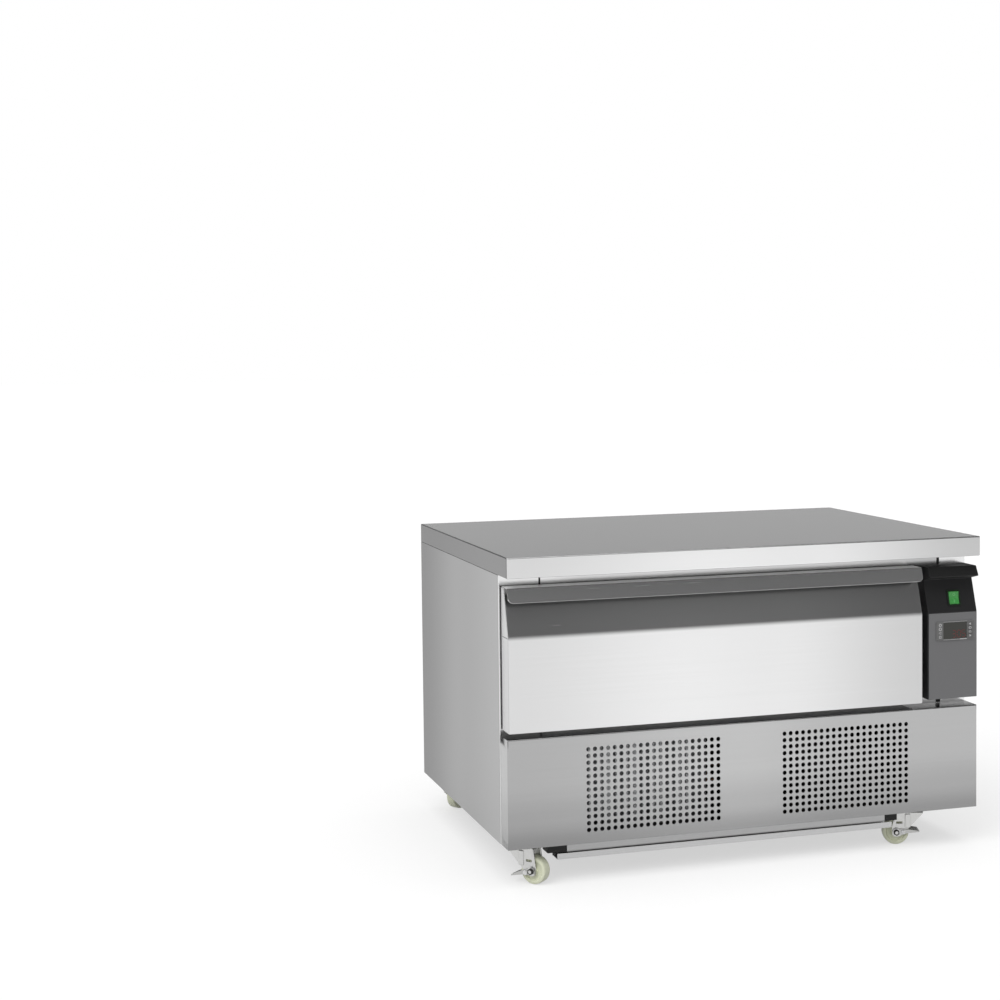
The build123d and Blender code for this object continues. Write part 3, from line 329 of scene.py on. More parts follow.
X, Y, Z = 0, 1, 2
# Each table below is painted light and shade: (position in metres, factor) pairs that lighten or
# darken a finish along one axis.
DRAWER_PAINTED_LIGHT = [(-0.46, 0.82), (-0.12, 0.975), (0.05, 0.94), (0.36, 0.71)]
PANEL_PAINTED_LIGHT = [(-0.46, 0.86), (-0.02, 1.05), (0.20, 0.93), (0.46, 0.92)]
PANEL_PAINTED_SHADE = [(0.075, 0.62), (0.12, 0.83), (0.19, 0.99), (0.26, 1.0)]
SIDE_PAINTED_SHADE = [(-0.325, 0.70), (0.0, 0.52), (0.325, 0.20)]
LID_EDGE_PAINTED_LIGHT = [(-0.46, 0.90), (-0.08, 1.10), (0.12, 1.06), (0.46, 0.73)]
LID_END_PAINTED_SHADE = [(-0.325, 1.0), (0.325, 0.50)]
RAIL_PAINTED_SHADE = [(-0.39, 1.0), (-0.30, 0.84), (0.10, 0.80), (0.42, 0.62)]
BASE_PAINTED_SHADE = [(0.054, 0.30), (0.0568, 1.0), (0.0665, 1.0), (0.071, 0.45)]
PANEL_PAINTED_LIGHT_AND_SHADE = [(X, PANEL_PAINTED_LIGHT), (Z, PANEL_PAINTED_SHADE)]
steel("worktop_steel", 0.78, X, contrast=0.03)
steel("painted_light_edge_steel", 0.78, X, contrast=0.03, painted_light_ramps=[(X, LID_EDGE_PAINTED_LIGHT)])
steel("painted_shade_end_steel", 0.165, Z, painted_light_ramps=[(Y, LID_END_PAINTED_SHADE)])
steel("casing_steel", 0.50, Z, painted_light_ramps=[(Y, SIDE_PAINTED_SHADE)])
steel("front_steel", 0.88, X, contrast=0.025, painted_light_ramps=[(X, DRAWER_PAINTED_LIGHT)])
steel("end_steel", 0.58, Z)
steel("lip_steel", 0.96, X, contrast=0.03)
steel("panel_steel", 0.52, X, contrast=0.03, painted_light_ramps=PANEL_PAINTED_LIGHT_AND_SHADE)
steel("shaded_steel", 0.06, X, rough=0.4)
steel("frame_steel", 0.80, X, rough=0.18, contrast=0.02)
steel("painted_shade_rail_steel", 0.80, X, rough=0.18, contrast=0.02, painted_light_ramps=[(X, RAIL_PAINTED_SHADE)])
steel("liner_steel", 0.78, X, rough=0.35)
steel("galvanised", 0.60, X, rough=0.45, contrast=0.10)
steel("painted_shade_base_steel", 0.45, X, rough=0.45, contrast=0.10, painted_light_ramps=[(Z, BASE_PAINTED_SHADE)])
print("steel finishes", sorted(FINISHES))

# %% [markdown]
# Plastics, rubber, paint and small metals
#
# Moulded plastic isn't smooth: its mould is etched, so it has a fine even grain that softens
# highlights. Rubber is the same but duller. The pieces differ only in colour, gloss and the
# size of that grain, so one maker serves them all.

# %% Moulded and painted finishes
MOULDED_GLOSS = (-0.04, 0.06)
MOULDED_RELIEF = 0.0003


def moulded(name, color, rough, grain=1800.0, bump=0.05, metallic=0.0, spread=0.08):
    FINISHES[name], tree, shader = new_material(name, Metallic=metallic)
    place = node_of(tree, "ShaderNodeTexCoord")
    noise = node_of(tree, "ShaderNodeTexNoise", Scale=grain, Detail=3.0)
    tones = node_of(tree, "ShaderNodeValToRGB")
    for element, factor in zip(tones.color_ramp.elements, (1 - spread, 1 + spread)):
        element.color = (*[min(1.0, value * factor) for value in color], 1)
    tree.links.new(place.outputs["Object"], noise.inputs["Vector"])
    grains = noise.outputs["Fac"]
    tree.links.new(grains, tones.inputs["Fac"])
    tone = tones.outputs["Color"]
    surface(tree, shader, tone, grains, grains, rough, MOULDED_GLOSS, bump, MOULDED_RELIEF)


moulded("foam", (0.80, 0.70, 0.46), 0.9, grain=300, bump=0.3)
moulded("core_board", (0.66, 0.65, 0.63), 0.8, grain=120, bump=0.2)
moulded("housing_black", (0.008, 0.008, 0.009), 0.5)
moulded("cap_painted_shade", (0.002, 0.002, 0.002), 0.65)
moulded("fascia_grey", (0.186, 0.186, 0.191), 0.45)
moulded("controller_black", (0.02, 0.02, 0.02), 0.35)
moulded("controller_grey", (0.158, 0.158, 0.158), 0.4)
moulded("white_print_and_painted_highlight", (0.62, 0.62, 0.62), 0.5)
moulded("digit_red", (0.13, 0.015, 0.012), 0.4)
moulded("switch_black", (0.010, 0.022, 0.010), 0.35)
moulded("lens", (0.030, 0.030, 0.024), 0.16, bump=0.0)
moulded("key_grey", (0.05, 0.05, 0.05), 0.5)
moulded("rocker_green", (0.062, 0.35, 0.075), 0.3, grain=330, bump=0.0, spread=0.45)
moulded("sign_green", (0.20, 0.60, 0.22), 0.4)
moulded("gasket_black", (0.012, 0.012, 0.012), 0.6)
moulded("foot_rubber", (0.015, 0.015, 0.015), 0.7)
moulded("slide_zinc", (0.62, 0.63, 0.65), 0.32, metallic=1.0, grain=200)
moulded("coil_aluminium", (0.60, 0.61, 0.62), 0.4, metallic=1.0)
moulded("fan_black", (0.015, 0.015, 0.015), 0.45)
moulded("motor_black", (0.02, 0.02, 0.02), 0.35)
moulded("compressor_black", (0.012, 0.012, 0.012), 0.25)
moulded("copper", (0.75, 0.38, 0.22), 0.3, metallic=1.0, grain=400)
moulded("tray_plastic", (0.35, 0.36, 0.37), 0.5)
moulded("pipe_plastic", (0.65, 0.65, 0.64), 0.4)
moulded("inlet_black", (0.015, 0.015, 0.015), 0.4)
moulded("castor_zinc", (0.62, 0.62, 0.61), 0.36, metallic=1.0, grain=250)
moulded("dark_and_painted_shade", (0.035, 0.035, 0.03), 0.6)
moulded("painted_highlight", (0.88, 0.88, 0.88), 0.3, metallic=0.1, grain=900)
moulded("wheel_nylon", (0.86, 0.885, 0.68), 0.4, grain=600)
moulded("pedal_zinc", (0.52, 0.52, 0.51), 0.42, metallic=1.0, grain=250)
print("finishes", len(FINISHES))

# %% Give every solid the finish of its slot
SLOTS = {part["node"]: part["material_slot"] for part in frame["record"]["subparts"]}


def dress(node, finish):
    """Puts one finish on a solid of the construction."""
    nodes[node].data.materials.clear()
    nodes[node].data.materials.append(FINISHES[finish])


for node in nodes:
    dress(node, SLOTS[node])
# The base pan's strip is darker at its top and bottom as painted shade, under the panel and over
# the rail.
dress("base_pan", "painted_shade_base_steel")
print("dressed", len(nodes), "solids")

# %% [markdown]
# Tools for sheet metal
#
# Most of this cabinet is folded sheet. A real sheet has three things that a sharp box lacks:
# every fold has a small radius that catches a thin line of light, every edge shows its
# thickness, and it is hollow behind. So a piece starts as one flat outline, is extruded and
# has its folds bevelled, and then a Solidify modifier gives it the thickness of the sheet on
# the inner side, so that the outer size stays what was measured. Weighted normals keep the
# flat faces flat in the shading, so that only the folds look round.

# %% Helpers for mesh pieces
SHEET = 1.2 * MM
SHARP_ANGLE = math.radians(35)


def mm(x, y, z):
    return Vector((x, y, z)) * MM


def at(x, y, z):
    return Matrix.Translation(mm(x, y, z))


def about(centre, half):
    return centre - half, centre + half


def move(bm, matrix, verts=None):
    bmesh.ops.transform(bm, matrix=matrix, verts=verts or bm.verts[:])


def box_of(bm, low, high):
    """A closed box between two corners. Returns its vertices."""
    made = bmesh.ops.create_cube(bm, size=1.0)["verts"]
    bmesh.ops.scale(bm, verts=made, vec=high - low)
    bmesh.ops.translate(bm, verts=made, vec=(low + high) / 2)
    return made


def block(bm, *ranges):
    """A closed box from its ranges along X, Y and Z in millimetres. Returns its vertices."""
    return box_of(bm, *[mm(*ends) for ends in zip(*ranges)])


def face_of(bm, points):
    return bm.faces.new([bm.verts.new(point) for point in points])


def take_out(bm, faces, context="FACES"):
    bmesh.ops.delete(bm, geom=faces, context=context)


def carry(bm, grown, way, kind):
    """Moves what an extrusion made and returns what is of one kind in it."""
    verts = [item for item in grown if isinstance(item, bmesh.types.BMVert)]
    bmesh.ops.translate(bm, verts=verts, vec=way)
    return [item for item in grown if isinstance(item, kind)]


def pull(bm, faces, way):
    """Extrudes faces by a vector and returns the faces at the far end."""
    grown = bmesh.ops.extrude_face_region(bm, geom=list(faces))["geom"]
    return carry(bm, grown, way, bmesh.types.BMFace)


def pull_edges(bm, edges, way):
    """Extrudes open edges by a vector and returns the new edges."""
    grown = bmesh.ops.extrude_edge_only(bm, edges=edges)["geom"]
    return carry(bm, grown, way, bmesh.types.BMEdge)


def prism(bm, outline, x0, x1):
    """A closed prism along X over an outline of (y, z) in millimetres."""
    face = face_of(bm, [mm(x0, y, z) for y, z in outline])
    pull(bm, [face], mm(x1 - x0, 0, 0))


def soften(bm, items, radius, segments=3, affect="EDGES"):
    """Rounds edges, or the corners of a flat sheet, to a radius in metres."""
    bmesh.ops.bevel(
        bm, geom=list(items), offset=radius, offset_type="OFFSET", segments=segments,
        profile=0.5, affect=affect, material=-1, clamp_overlap=True,
    )


def soft_block(xs, ys, zs, radius, segments=3):
    """A box with all its edges rounded."""
    bm = bmesh.new()
    block(bm, xs, ys, zs)
    soften(bm, bm.edges[:], radius, segments)
    return bm


def middle(edge):
    return (edge.verts[0].co + edge.verts[1].co) / 2


def along(edge, axis):
    way = edge.verts[1].co - edge.verts[0].co
    return abs(way[axis]) > 0.99 * way.length


def folds(bm, angle=1.0):
    """The edges where two faces turn by more than an angle in radians."""
    return [e for e in bm.edges if not e.is_boundary and e.calc_face_angle(0) > angle]


def edges_of(verts):
    return {edge for vertex in verts for edge in vertex.link_edges}


def add_piece(name, bm, finish, body, replaced=(), thickness=0.0):
    """A finished piece at the origin that rides on a body, with a sheet's thickness inwards."""
    bmesh.ops.recalc_face_normals(bm, faces=bm.faces)
    piece = object_of(name, bm)
    piece.data.materials.append(FINISHES[finish])
    piece.data.shade_smooth()
    piece.data.set_sharp_from_angle(angle=SHARP_ANGLE)
    if thickness:
        wall = piece.modifiers.new("sheet", "SOLIDIFY")
        wall.thickness = thickness
        wall.offset = -1.0
    flat = piece.modifiers.new("flat_faces", "WEIGHTED_NORMAL")
    flat.keep_sharp = True
    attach(piece, body)
    if replaced:
        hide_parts(*replaced)
    print(name, len(piece.data.polygons), "faces")
    return piece


def vary(piece, finishes, choose):
    """Adds finishes to a piece. A function of a face's normal and centre gives the number of
    the finish it gets, where 0 is the one that the piece already has."""
    for finish in finishes:
        piece.data.materials.append(FINISHES[finish])
    for polygon in piece.data.polygons:
        polygon.material_index = int(choose(polygon.normal, polygon.center))


# %% [markdown]
# Worktop
#
# The top is one steel sheet whose four edges are folded down 37 mm and then in underneath. A
# plain box would do from afar, but the fold along the front edge is the brightest line of the
# picture. So the box gets its folds rounded, its underside is opened inside the 25 mm returns,
# and it becomes a thin shell over the core board.

# %% Worktop lid
TOP_FOLD = 2.4 * MM
TOP_RETURN = 25 * MM
LOWER_FOLD = 1.6 * MM
TOP_SHEET = 1.5 * MM
FACING = 0.7


def worktop_lid():
    low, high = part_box("worktop")
    bm = bmesh.new()
    box_of(bm, low, high)
    soften(bm, [e for e in bm.edges if middle(e).z > low.z + MM], TOP_FOLD, 4)
    soften(bm, [e for e in folds(bm) if middle(e).z < low.z + MM / 2], LOWER_FOLD, 2)
    bm.normal_update()
    bottom = [face for face in bm.faces if face.normal.z < -0.99]
    bmesh.ops.inset_region(bm, faces=bottom, thickness=TOP_RETURN)
    take_out(bm, bottom)
    return bm


def lid_finish(way, place):
    """The ends get upright grain and dark painted shade, the long folds painted light,
    and the joint below painted shade.
    """
    if way.z < -0.4 and max(abs(way.x), abs(way.y)) > 0.2:
        return 3
    return 2 if abs(way.x) > FACING else abs(way.y) > FACING


lid = add_piece("worktop_lid", worktop_lid(), "worktop_steel", "cabinet", ["worktop"], TOP_SHEET)
vary(lid, ["painted_light_edge_steel", "painted_shade_end_steel", "shaded_steel"], lid_finish)

# %% [markdown]
# Drawer front
#
# One sheet is folded into a shallow tray: a bottom, the upright face, a crease above which the
# face leans back, a top and two ends. It opens to the rear, where the inner skin closes it.
# Modelled from its side view, the outline is extruded over the drawer's width. The crease is a
# wider bend than the corners, because there the sheet only turns by 17 degrees.

# %% Drawer skin
FACE_Y = -314.0
DRAWER_BACK_Y = -273.0
DRAWER_X = (-460.6, 349.0)
DRAWER_LOW = 277.0
DRAWER_HIGH = 533.0
CREASE_Z = 446.0
LEAN_TOP_Y = -287.0
CORNER_BEND = 1.5 * MM
CREASE_BEND = 5 * MM
DRAWER_OUTLINE = [
    (DRAWER_BACK_Y, DRAWER_LOW), (FACE_Y, DRAWER_LOW), (FACE_Y, CREASE_Z),
    (LEAN_TOP_Y, DRAWER_HIGH), (DRAWER_BACK_Y, DRAWER_HIGH),
]


def drawer_skin():
    bm = bmesh.new()
    prism(bm, DRAWER_OUTLINE, *DRAWER_X)
    bm.normal_update()
    rear_y = DRAWER_BACK_Y * MM - MM / 2
    take_out(bm, [face for face in bm.faces if face.calc_center_median().y > rear_y])
    crease = [e for e in bm.edges if along(e, X) and abs(middle(e).z - CREASE_Z * MM) < MM]
    soften(bm, crease, CREASE_BEND, 4)
    corners = [
        e for e in bm.edges
        if not e.is_boundary and (
            len({abs(face.normal.x) > 0.9 for face in e.link_faces}) == 2
            or along(e, X) and abs(middle(e).z - CREASE_Z * MM) > 2 * CREASE_BEND
        )
    ]
    soften(bm, corners, CORNER_BEND)
    return bm


# Its finish is lightest left of the middle and darker towards both ends, as painted light.
skin = add_piece("drawer_skin", drawer_skin(), "front_steel", "drawer", ["drawer_front"], SHEET)
vary(skin, ["end_steel"], lambda way, place: abs(way.x) > FACING)

# %% Seam on the drawer's end
# The end is closed by two flaps that meet at the crease.
SEAM_X = (DRAWER_X[0] - 0.15, DRAWER_X[0] + 0.5)
SEAM_Y = (FACE_Y + 2, DRAWER_BACK_Y - 1)
seam = bmesh.new()
block(seam, SEAM_X, SEAM_Y, about(CREASE_Z, 0.5))
add_piece("drawer_end_seam", seam, "shaded_steel", "drawer")

# %% [markdown]
# Finger lip
#
# The drawer has no handle. A strip of the drawer's own width is folded over its top, hangs
# down in front of the leaning face, and the fingers go in below it. The sheet is hemmed along
# the lower edge, so no sharp edge meets the hand, and its lower corners are round. They are
# rounded in the flat sheet with a vertex bevel, before the hem is folded back.

# %% Finger lip
LIP_TOP = (-309.6, 534.2)
LIP_LOW = (-319.0, 508.5)
LIP_REAR_Y = -275.0
LIP_CORNER = 10 * MM
LIP_HEM = 3.2 * MM
LIP_FOLD = 1.4 * MM


def finger_lip():
    bm = bmesh.new()
    edge = bm.edges.new([bm.verts.new(mm(x, LIP_REAR_Y, LIP_TOP[1])) for x in DRAWER_X])
    fold = pull_edges(bm, [edge], mm(0, LIP_TOP[0] - LIP_REAR_Y, 0))
    pull_edges(bm, fold, mm(0, LIP_LOW[0] - LIP_TOP[0], LIP_LOW[1] - LIP_TOP[1]))
    corners = [v for v in bm.verts if v.co.z < LIP_LOW[1] * MM + MM / 2]
    soften(bm, corners, LIP_CORNER, 6, "VERTICES")
    rim_top = LIP_LOW[1] * MM + LIP_CORNER * 0.9
    rim = [e for e in bm.edges if e.is_boundary and max(v.co.z for v in e.verts) < rim_top]
    pull_edges(bm, rim, Vector((0, LIP_HEM, 0)))
    soften(bm, folds(bm, 0.5), LIP_FOLD)
    return bm


def lip_finish(way, place):
    """Its top gets a pale painted highlight, and the fold before it and the hem get painted
    shade.
    """
    return 2 if way.z > 0.95 else way.z < -0.95 or way.z > 0.5


lip = add_piece(
    "finger_lip", finger_lip(), "lip_steel", "drawer", ["drawer_grip"], SHEET
)
vary(lip, ["shaded_steel", "painted_highlight"], lip_finish)
# Its inner side gets painted shade.
lip.modifiers["sheet"].material_offset = 1

# %% [markdown]
# Lower front panel
#
# Air for the condenser comes in through two fields of punched holes, 21 by 13 each. They could
# be faked with a dark pattern, but from the side a real hole shows its rim. The sheet is cut
# along the pitch lines with bisect planes, so that every hole gets its own square. Insetting
# all squares at once leaves a frame round each, subdividing the inner squares gives them 16
# corners, and those are moved out to a circle. Deleting what is inside leaves the holes.

# %% Punched sheet
PANEL_X = (-464.0, 464.0)
PANEL_Z = (71.0, 267.0)
PANEL_BACK_Y = -267.4
PANEL_FLANGE = 10 * MM
PANEL_FOLD = 2 * MM
FIELD_X = (-190.0, 190.0)
FIELD_Z = 168.0
HOLES_ACROSS = 21
HOLES_UP = 13
PITCH_X = 12.44
PITCH_Z = 12.1
HOLE_RADIUS = 4 * MM
SHADE_END = 0.330


def rectangle(xs, zs):
    """The corners in X and Z of a rectangle in the plane of the front."""
    return [(xs[0], zs[0]), (xs[1], zs[0]), (xs[1], zs[1]), (xs[0], zs[1])]


def inside(rectangles, face):
    """Whether the middle of a face is in one of the rectangles, seen from the front."""
    point = face.calc_center_median() / MM
    return any(
        low[0] < point.x < high[0] and low[1] < point.z < high[1]
        for low, _, high, _ in rectangles
    )


def pitch_lines(centre, pitch, count):
    start = centre - pitch * count / 2
    return [(start + pitch * index) * MM for index in range(count + 1)]


def cut_across(bm, axis, places):
    """Cuts the mesh with planes square to an axis."""
    normal = Vector([1.0 if index == axis else 0.0 for index in range(3)])
    for place in places:
        geometry = bm.verts[:] + bm.edges[:] + bm.faces[:]
        bmesh.ops.bisect_plane(bm, geom=geometry, plane_co=normal * place, plane_no=normal)


def punch_round(bm, cells):
    """Leaves a round hole in each of the cells."""
    margin = (PITCH_Z * MM - 2 * HOLE_RADIUS) / 2
    bmesh.ops.inset_individual(bm, faces=cells, thickness=margin)
    rims = list({edge for cell in cells for edge in cell.edges})
    bmesh.ops.subdivide_edges(bm, edges=rims, cuts=3)
    for cell in cells:
        centre = cell.calc_center_median()
        for vertex in cell.verts:
            vertex.co = centre + (vertex.co - centre).normalized() * HOLE_RADIUS
    take_out(bm, cells)


def punched_panel():
    bm = bmesh.new()
    face_of(bm, [mm(x, FACE_Y, z) for x, z in rectangle(PANEL_X, PANEL_Z)])
    field_zs = about(FIELD_Z, PITCH_Z * HOLES_UP / 2)
    fields = []
    for centre in FIELD_X:
        fields.append(rectangle(about(centre, PITCH_X * HOLES_ACROSS / 2), field_zs))
        cut_across(bm, X, pitch_lines(centre, PITCH_X, HOLES_ACROSS))
    cut_across(bm, Z, pitch_lines(FIELD_Z, PITCH_Z, HOLES_UP))
    cut_across(bm, X, [SHADE_END])
    border = [edge for edge in bm.edges if edge.is_boundary]
    low_edge = [edge for edge in border if middle(edge).z < PANEL_Z[0] * MM + MM]
    rest = [edge for edge in border if edge not in low_edge]
    pull_edges(bm, rest, mm(0, PANEL_BACK_Y - FACE_Y, 0))
    pull_edges(bm, low_edge, Vector((0, PANEL_FLANGE, 0)))
    punch_round(bm, [face for face in bm.faces if inside(fields, face)])
    soften(bm, [e for e in folds(bm) if abs(middle(e).y - FACE_Y * MM) < MM], PANEL_FOLD)
    return bm


# Its finish is lighter in the middle as painted light and darker towards the bottom as painted
# shade.
panel = add_piece(
    "punched_panel", punched_panel(), "panel_steel", "cabinet", ["lower_front_panel"], SHEET,
)
# Under the drawer the upper flange gets painted shade, where it would mirror the black gasket.
vary(panel, ["shaded_steel"], lambda way, place: way.z > 0.9 and place.x < SHADE_END)

# %% [markdown]
# Control column
#
# The column is a moulded black housing. It stands flush with the drawer, leans back with it,
# and ends in a cap that juts forward over the switch. A grey plate covers its upright part.
# Its side view is extruded like the drawer's, but moulded edges are rounder than folds. The
# leaning face gets a rectangular hole for the switch: two pairs of cuts mark it, the middle is
# taken out, and its edge is drawn inwards as the wall of the hole.

# %% Housing
COLUMN_X = (361.0, 464.0)
COLUMN_LOW = 283.0
COLUMN_FACE_Y = -312.0
COLUMN_BACK_Y = -267.0
CAP_TIP_Y = -321.0
CAP_FRONT_Y = -305.0
CAP_LOW = 510.0
COLUMN_OUTLINE = [
    (COLUMN_BACK_Y, COLUMN_LOW), (COLUMN_FACE_Y, COLUMN_LOW), (COLUMN_FACE_Y, 445.4),
    (FACE_Y, 446.2), (-294.76, 508.0), (CAP_TIP_Y, 514.5), (-311.0, DRAWER_HIGH),
    (COLUMN_BACK_Y, DRAWER_HIGH),
]
CAP_BEND = 2.5 * MM
COLUMN_BEND = 1.0 * MM
LEAN = math.atan((LEAN_TOP_Y - FACE_Y) / (DRAWER_HIGH - CREASE_Z))
UP_THE_LEAN = Vector((0, math.sin(LEAN), math.cos(LEAN)))
OUT_OF_LEAN = Vector((0, -math.cos(LEAN), math.sin(LEAN)))
SWITCH_X = 419.0
SWITCH_Z = 473.0
SWITCH_CENTRE = mm(SWITCH_X, FACE_Y + (SWITCH_Z - CREASE_Z) * math.tan(LEAN), SWITCH_Z)
SWITCH_HALF = (13.0 * MM, 15.0 * MM)
SWITCH_WALL = 4 * MM


def leaning(bm):
    return [face for face in bm.faces if face.normal.dot(OUT_OF_LEAN) > 0.999]


def cut_out_switch(bm):
    """Takes a rectangle out of the leaning face and gives the hole a wall."""
    for way, half in ((Vector((1, 0, 0)), SWITCH_HALF[0]), (UP_THE_LEAN, SWITCH_HALF[1])):
        for side in (-1, 1):
            geometry = {item for f in leaning(bm) for item in (*f.verts, *f.edges, f)}
            place = SWITCH_CENTRE + way * half * side
            bmesh.ops.bisect_plane(bm, geom=list(geometry), plane_co=place, plane_no=way)
            bm.normal_update()
    hole = [f for f in leaning(bm) if (f.calc_center_median() - SWITCH_CENTRE).length < 2 * MM]
    rim = list({edge for face in hole for edge in face.edges})
    take_out(bm, hole, "FACES_ONLY")
    pull_edges(bm, rim, -OUT_OF_LEAN * SWITCH_WALL)


def housing():
    bm = bmesh.new()
    prism(bm, COLUMN_OUTLINE, *COLUMN_X)
    bmesh.ops.recalc_face_normals(bm, faces=bm.faces)
    tip = [e for e in bm.edges if along(e, X) and middle(e).y < (CAP_TIP_Y + 3) * MM]
    soften(bm, tip, CAP_BEND, 4)
    rest = [e for e in folds(bm, 0.6) if middle(e).y < (COLUMN_BACK_Y - 2) * MM]
    soften(bm, rest, COLUMN_BEND)
    bm.normal_update()
    cut_out_switch(bm)
    return bm


def cap_finish(way, place):
    """The face of the cap tips down, away from the light, and gets a darker black as painted
    shade.
    """
    return place.z > CAP_LOW * MM and place.y < CAP_FRONT_Y * MM


column = add_piece("column_housing", housing(), "housing_black", "cabinet", ["control_housing"])
vary(column, ["cap_painted_shade"], cap_finish)

# %% Grey plate
PLATE_X = (363.0, 464.0)
PLATE_Z = (283.0, 445.6)
PLATE_THICK = 2.0
PLATE_BEND = 0.8 * MM


def grey_plate():
    bm = bmesh.new()
    block(bm, PLATE_X, (FACE_Y, FACE_Y + PLATE_THICK), PLATE_Z)
    soften(bm, [e for e in bm.edges if middle(e).y < (FACE_Y + 0.5) * MM], PLATE_BEND)
    return bm


add_piece("column_plate", grey_plate(), "fascia_grey", "cabinet", ["control_fascia"])

# %% [markdown]
# Side sheets and frame joints
#
# Each side is one sheet that is folded round to the front as a narrow post. The construction
# already has its fold, so its mesh is copied, merged and given a finish for each way it faces:
# upright grain on the side, with painted shade towards the rear, and polished steel on the post,
# whose lighter tone is painted light. Where a post meets a rail, the seam is filled with black
# sealant, which shows as short dark lines above and below the drawer. Between the base and the
# front rail, a black block at each end is painted shade in the dark space under the base.

# %% Side sheets
def copy_of(node):
    """A merged copy of a solid of the construction, without the edges inside flat faces."""
    bm = bmesh.new()
    bm.from_mesh(nodes[node].data)
    bmesh.ops.remove_doubles(bm, verts=bm.verts[:], dist=1e-6)
    flat = math.radians(0.5)
    bmesh.ops.dissolve_limit(bm, angle_limit=flat, verts=bm.verts[:], edges=bm.edges[:])
    return bm


# The front post gets the lighter frame steel as painted light, and the rear fold the end steel.
def side_finish(way, place):
    return (way.y < -FACING) + 2 * (way.y > FACING)


for side in ("left", "right"):
    node = f"side_panel_{side}"
    sheet = add_piece(f"side_sheet_{side}", copy_of(node), "casing_steel", "cabinet", [node])
    vary(sheet, ["frame_steel", "end_steel"], side_finish)

# %% Top rail
# Its finish darkens towards the right as painted shade.
add_piece(
    "top_rail", copy_of("frame_top_rail"), "painted_shade_rail_steel", "cabinet", ["frame_top_rail"],
)

# %% Sealant and painted shade blocks
BEADS = {
    "bead_top_left": ((-388.7, -386.5), (513.4, 552.6)),
    "bead_low_left": ((-388.7, -386.5), (268.4, 297.4)),
    "bead_top_right": ((404.4, 409.0), (533.6, 552.6)),
    "bead_low_right": ((402.6, 411.2), (267.6, 283.6)),
}
BEAD_Y = (-268.4, -266.4)
BEAD_BEND = 0.6 * MM
for name, (xs, zs) in BEADS.items():
    add_piece(name, soft_block(xs, BEAD_Y, zs, BEAD_BEND), "gasket_black", "cabinet")

# Black blocks at both ends between the base and the front rail are painted shade under the base.
SHADE_BLOCKS = {"painted_shade_block_left": (-386.5, -350.3), "painted_shade_block_right": (279.3, 305.5)}
SHADE_BLOCK_Y = (-294.5, -263.5)
SHADE_BLOCK_Z = (54.2, 70.9)
SHADE_BLOCK_BEND = 1.2 * MM
for name, xs in SHADE_BLOCKS.items():
    add_piece(name, soft_block(xs, SHADE_BLOCK_Y, SHADE_BLOCK_Z, SHADE_BLOCK_BEND), "foot_rubber", "cabinet")

# %% [markdown]
# Temperature controller
#
# The controller is a flat grey frame with a dark window, clipped into the plate. Four small
# signs are printed beside the window on the left, and the four keys on its right carry one
# each. Printed signs are hardly thicker than paint, so they are thin sheets just proud of the
# surface, drawn from circles of few segments: three make an arrow, many make a ring.

# %% Controller frame
CONTROLLER_X = 417.0
CONTROLLER_Z = 412.0
FRAME_HALF = (40.0, 18.0)
FRAME_THICK = 3.0
FRAME_FRONT_Y = -315.5
FRAME_CORNER = 2 * MM
FRAME_BEND = 0.35 * MM
WINDOW_HALF = (25.0, 15.5)
KEY_HALF = (4.5, 3.1)
KEY_X = 448.5
KEY_HEIGHTS = (423.25, 415.75, 408.25, 400.75)
HOLE_PLAY = 0.35


def on_controller(half):
    """The ranges in X and Z of what lies about the controller's middle."""
    return about(CONTROLLER_X, half[0]), about(CONTROLLER_Z, half[1])


def plate_with_holes(outer, holes, front, depth):
    """A front plate whose rectangular holes are cut along their own edges."""
    bm = bmesh.new()
    face_of(bm, [mm(x, front, z) for x, z in outer])
    for low, _, high, _ in holes:
        cut_across(bm, X, [low[0] * MM, high[0] * MM])
        cut_across(bm, Z, [low[1] * MM, high[1] * MM])
    take_out(bm, [face for face in bm.faces if inside(holes, face)])
    pull_edges(bm, [edge for edge in bm.edges if edge.is_boundary], mm(0, depth, 0))
    return bm


def controller_frame():
    key_half = [half + HOLE_PLAY for half in KEY_HALF]
    holes = [rectangle(*on_controller(WINDOW_HALF))]
    holes += [rectangle(about(KEY_X, key_half[0]), about(z, key_half[1])) for z in KEY_HEIGHTS]
    outer = rectangle(*on_controller(FRAME_HALF))
    bm = plate_with_holes(outer, holes, FRAME_FRONT_Y, FRAME_THICK)
    corners = [
        e for e in bm.edges
        if along(e, Y) and abs(middle(e).x / MM - CONTROLLER_X) > FRAME_HALF[0] - 0.1
        and abs(middle(e).z / MM - CONTROLLER_Z) > FRAME_HALF[1] - 0.1
    ]
    soften(bm, corners, FRAME_CORNER, 4)
    rims = [e for e in folds(bm) if abs(middle(e).y / MM - FRAME_FRONT_Y) < 0.1]
    soften(bm, rims, FRAME_BEND, 2)
    return bm


add_piece(
    "controller_frame", controller_frame(), "controller_grey", "cabinet", ["controller_body"],
)

# %% Keys and window
KEY_Y = (-315.9, -311.4)
KEY_BEND = 0.6 * MM
WINDOW_Y = (-315.1, -314.0)
WINDOW_BEND = 0.2 * MM

for number, height in enumerate(KEY_HEIGHTS, 1):
    body = f"controller_key_{number}"
    key = soft_block(about(KEY_X, KEY_HALF[0]), KEY_Y, about(height, KEY_HALF[1]), KEY_BEND)
    add_piece(f"key_{number}", key, "controller_grey", body, [body])

window_xs, window_zs = on_controller(WINDOW_HALF)
window = soft_block(window_xs, WINDOW_Y, window_zs, WINDOW_BEND, 2)
add_piece("display_window", window, "lens", "cabinet", ["controller_lens"])

# %% Printed signs
PRINT = 0.1 * MM
PROUD = 0.12
SIGN_X = CONTROLLER_X - 31.5
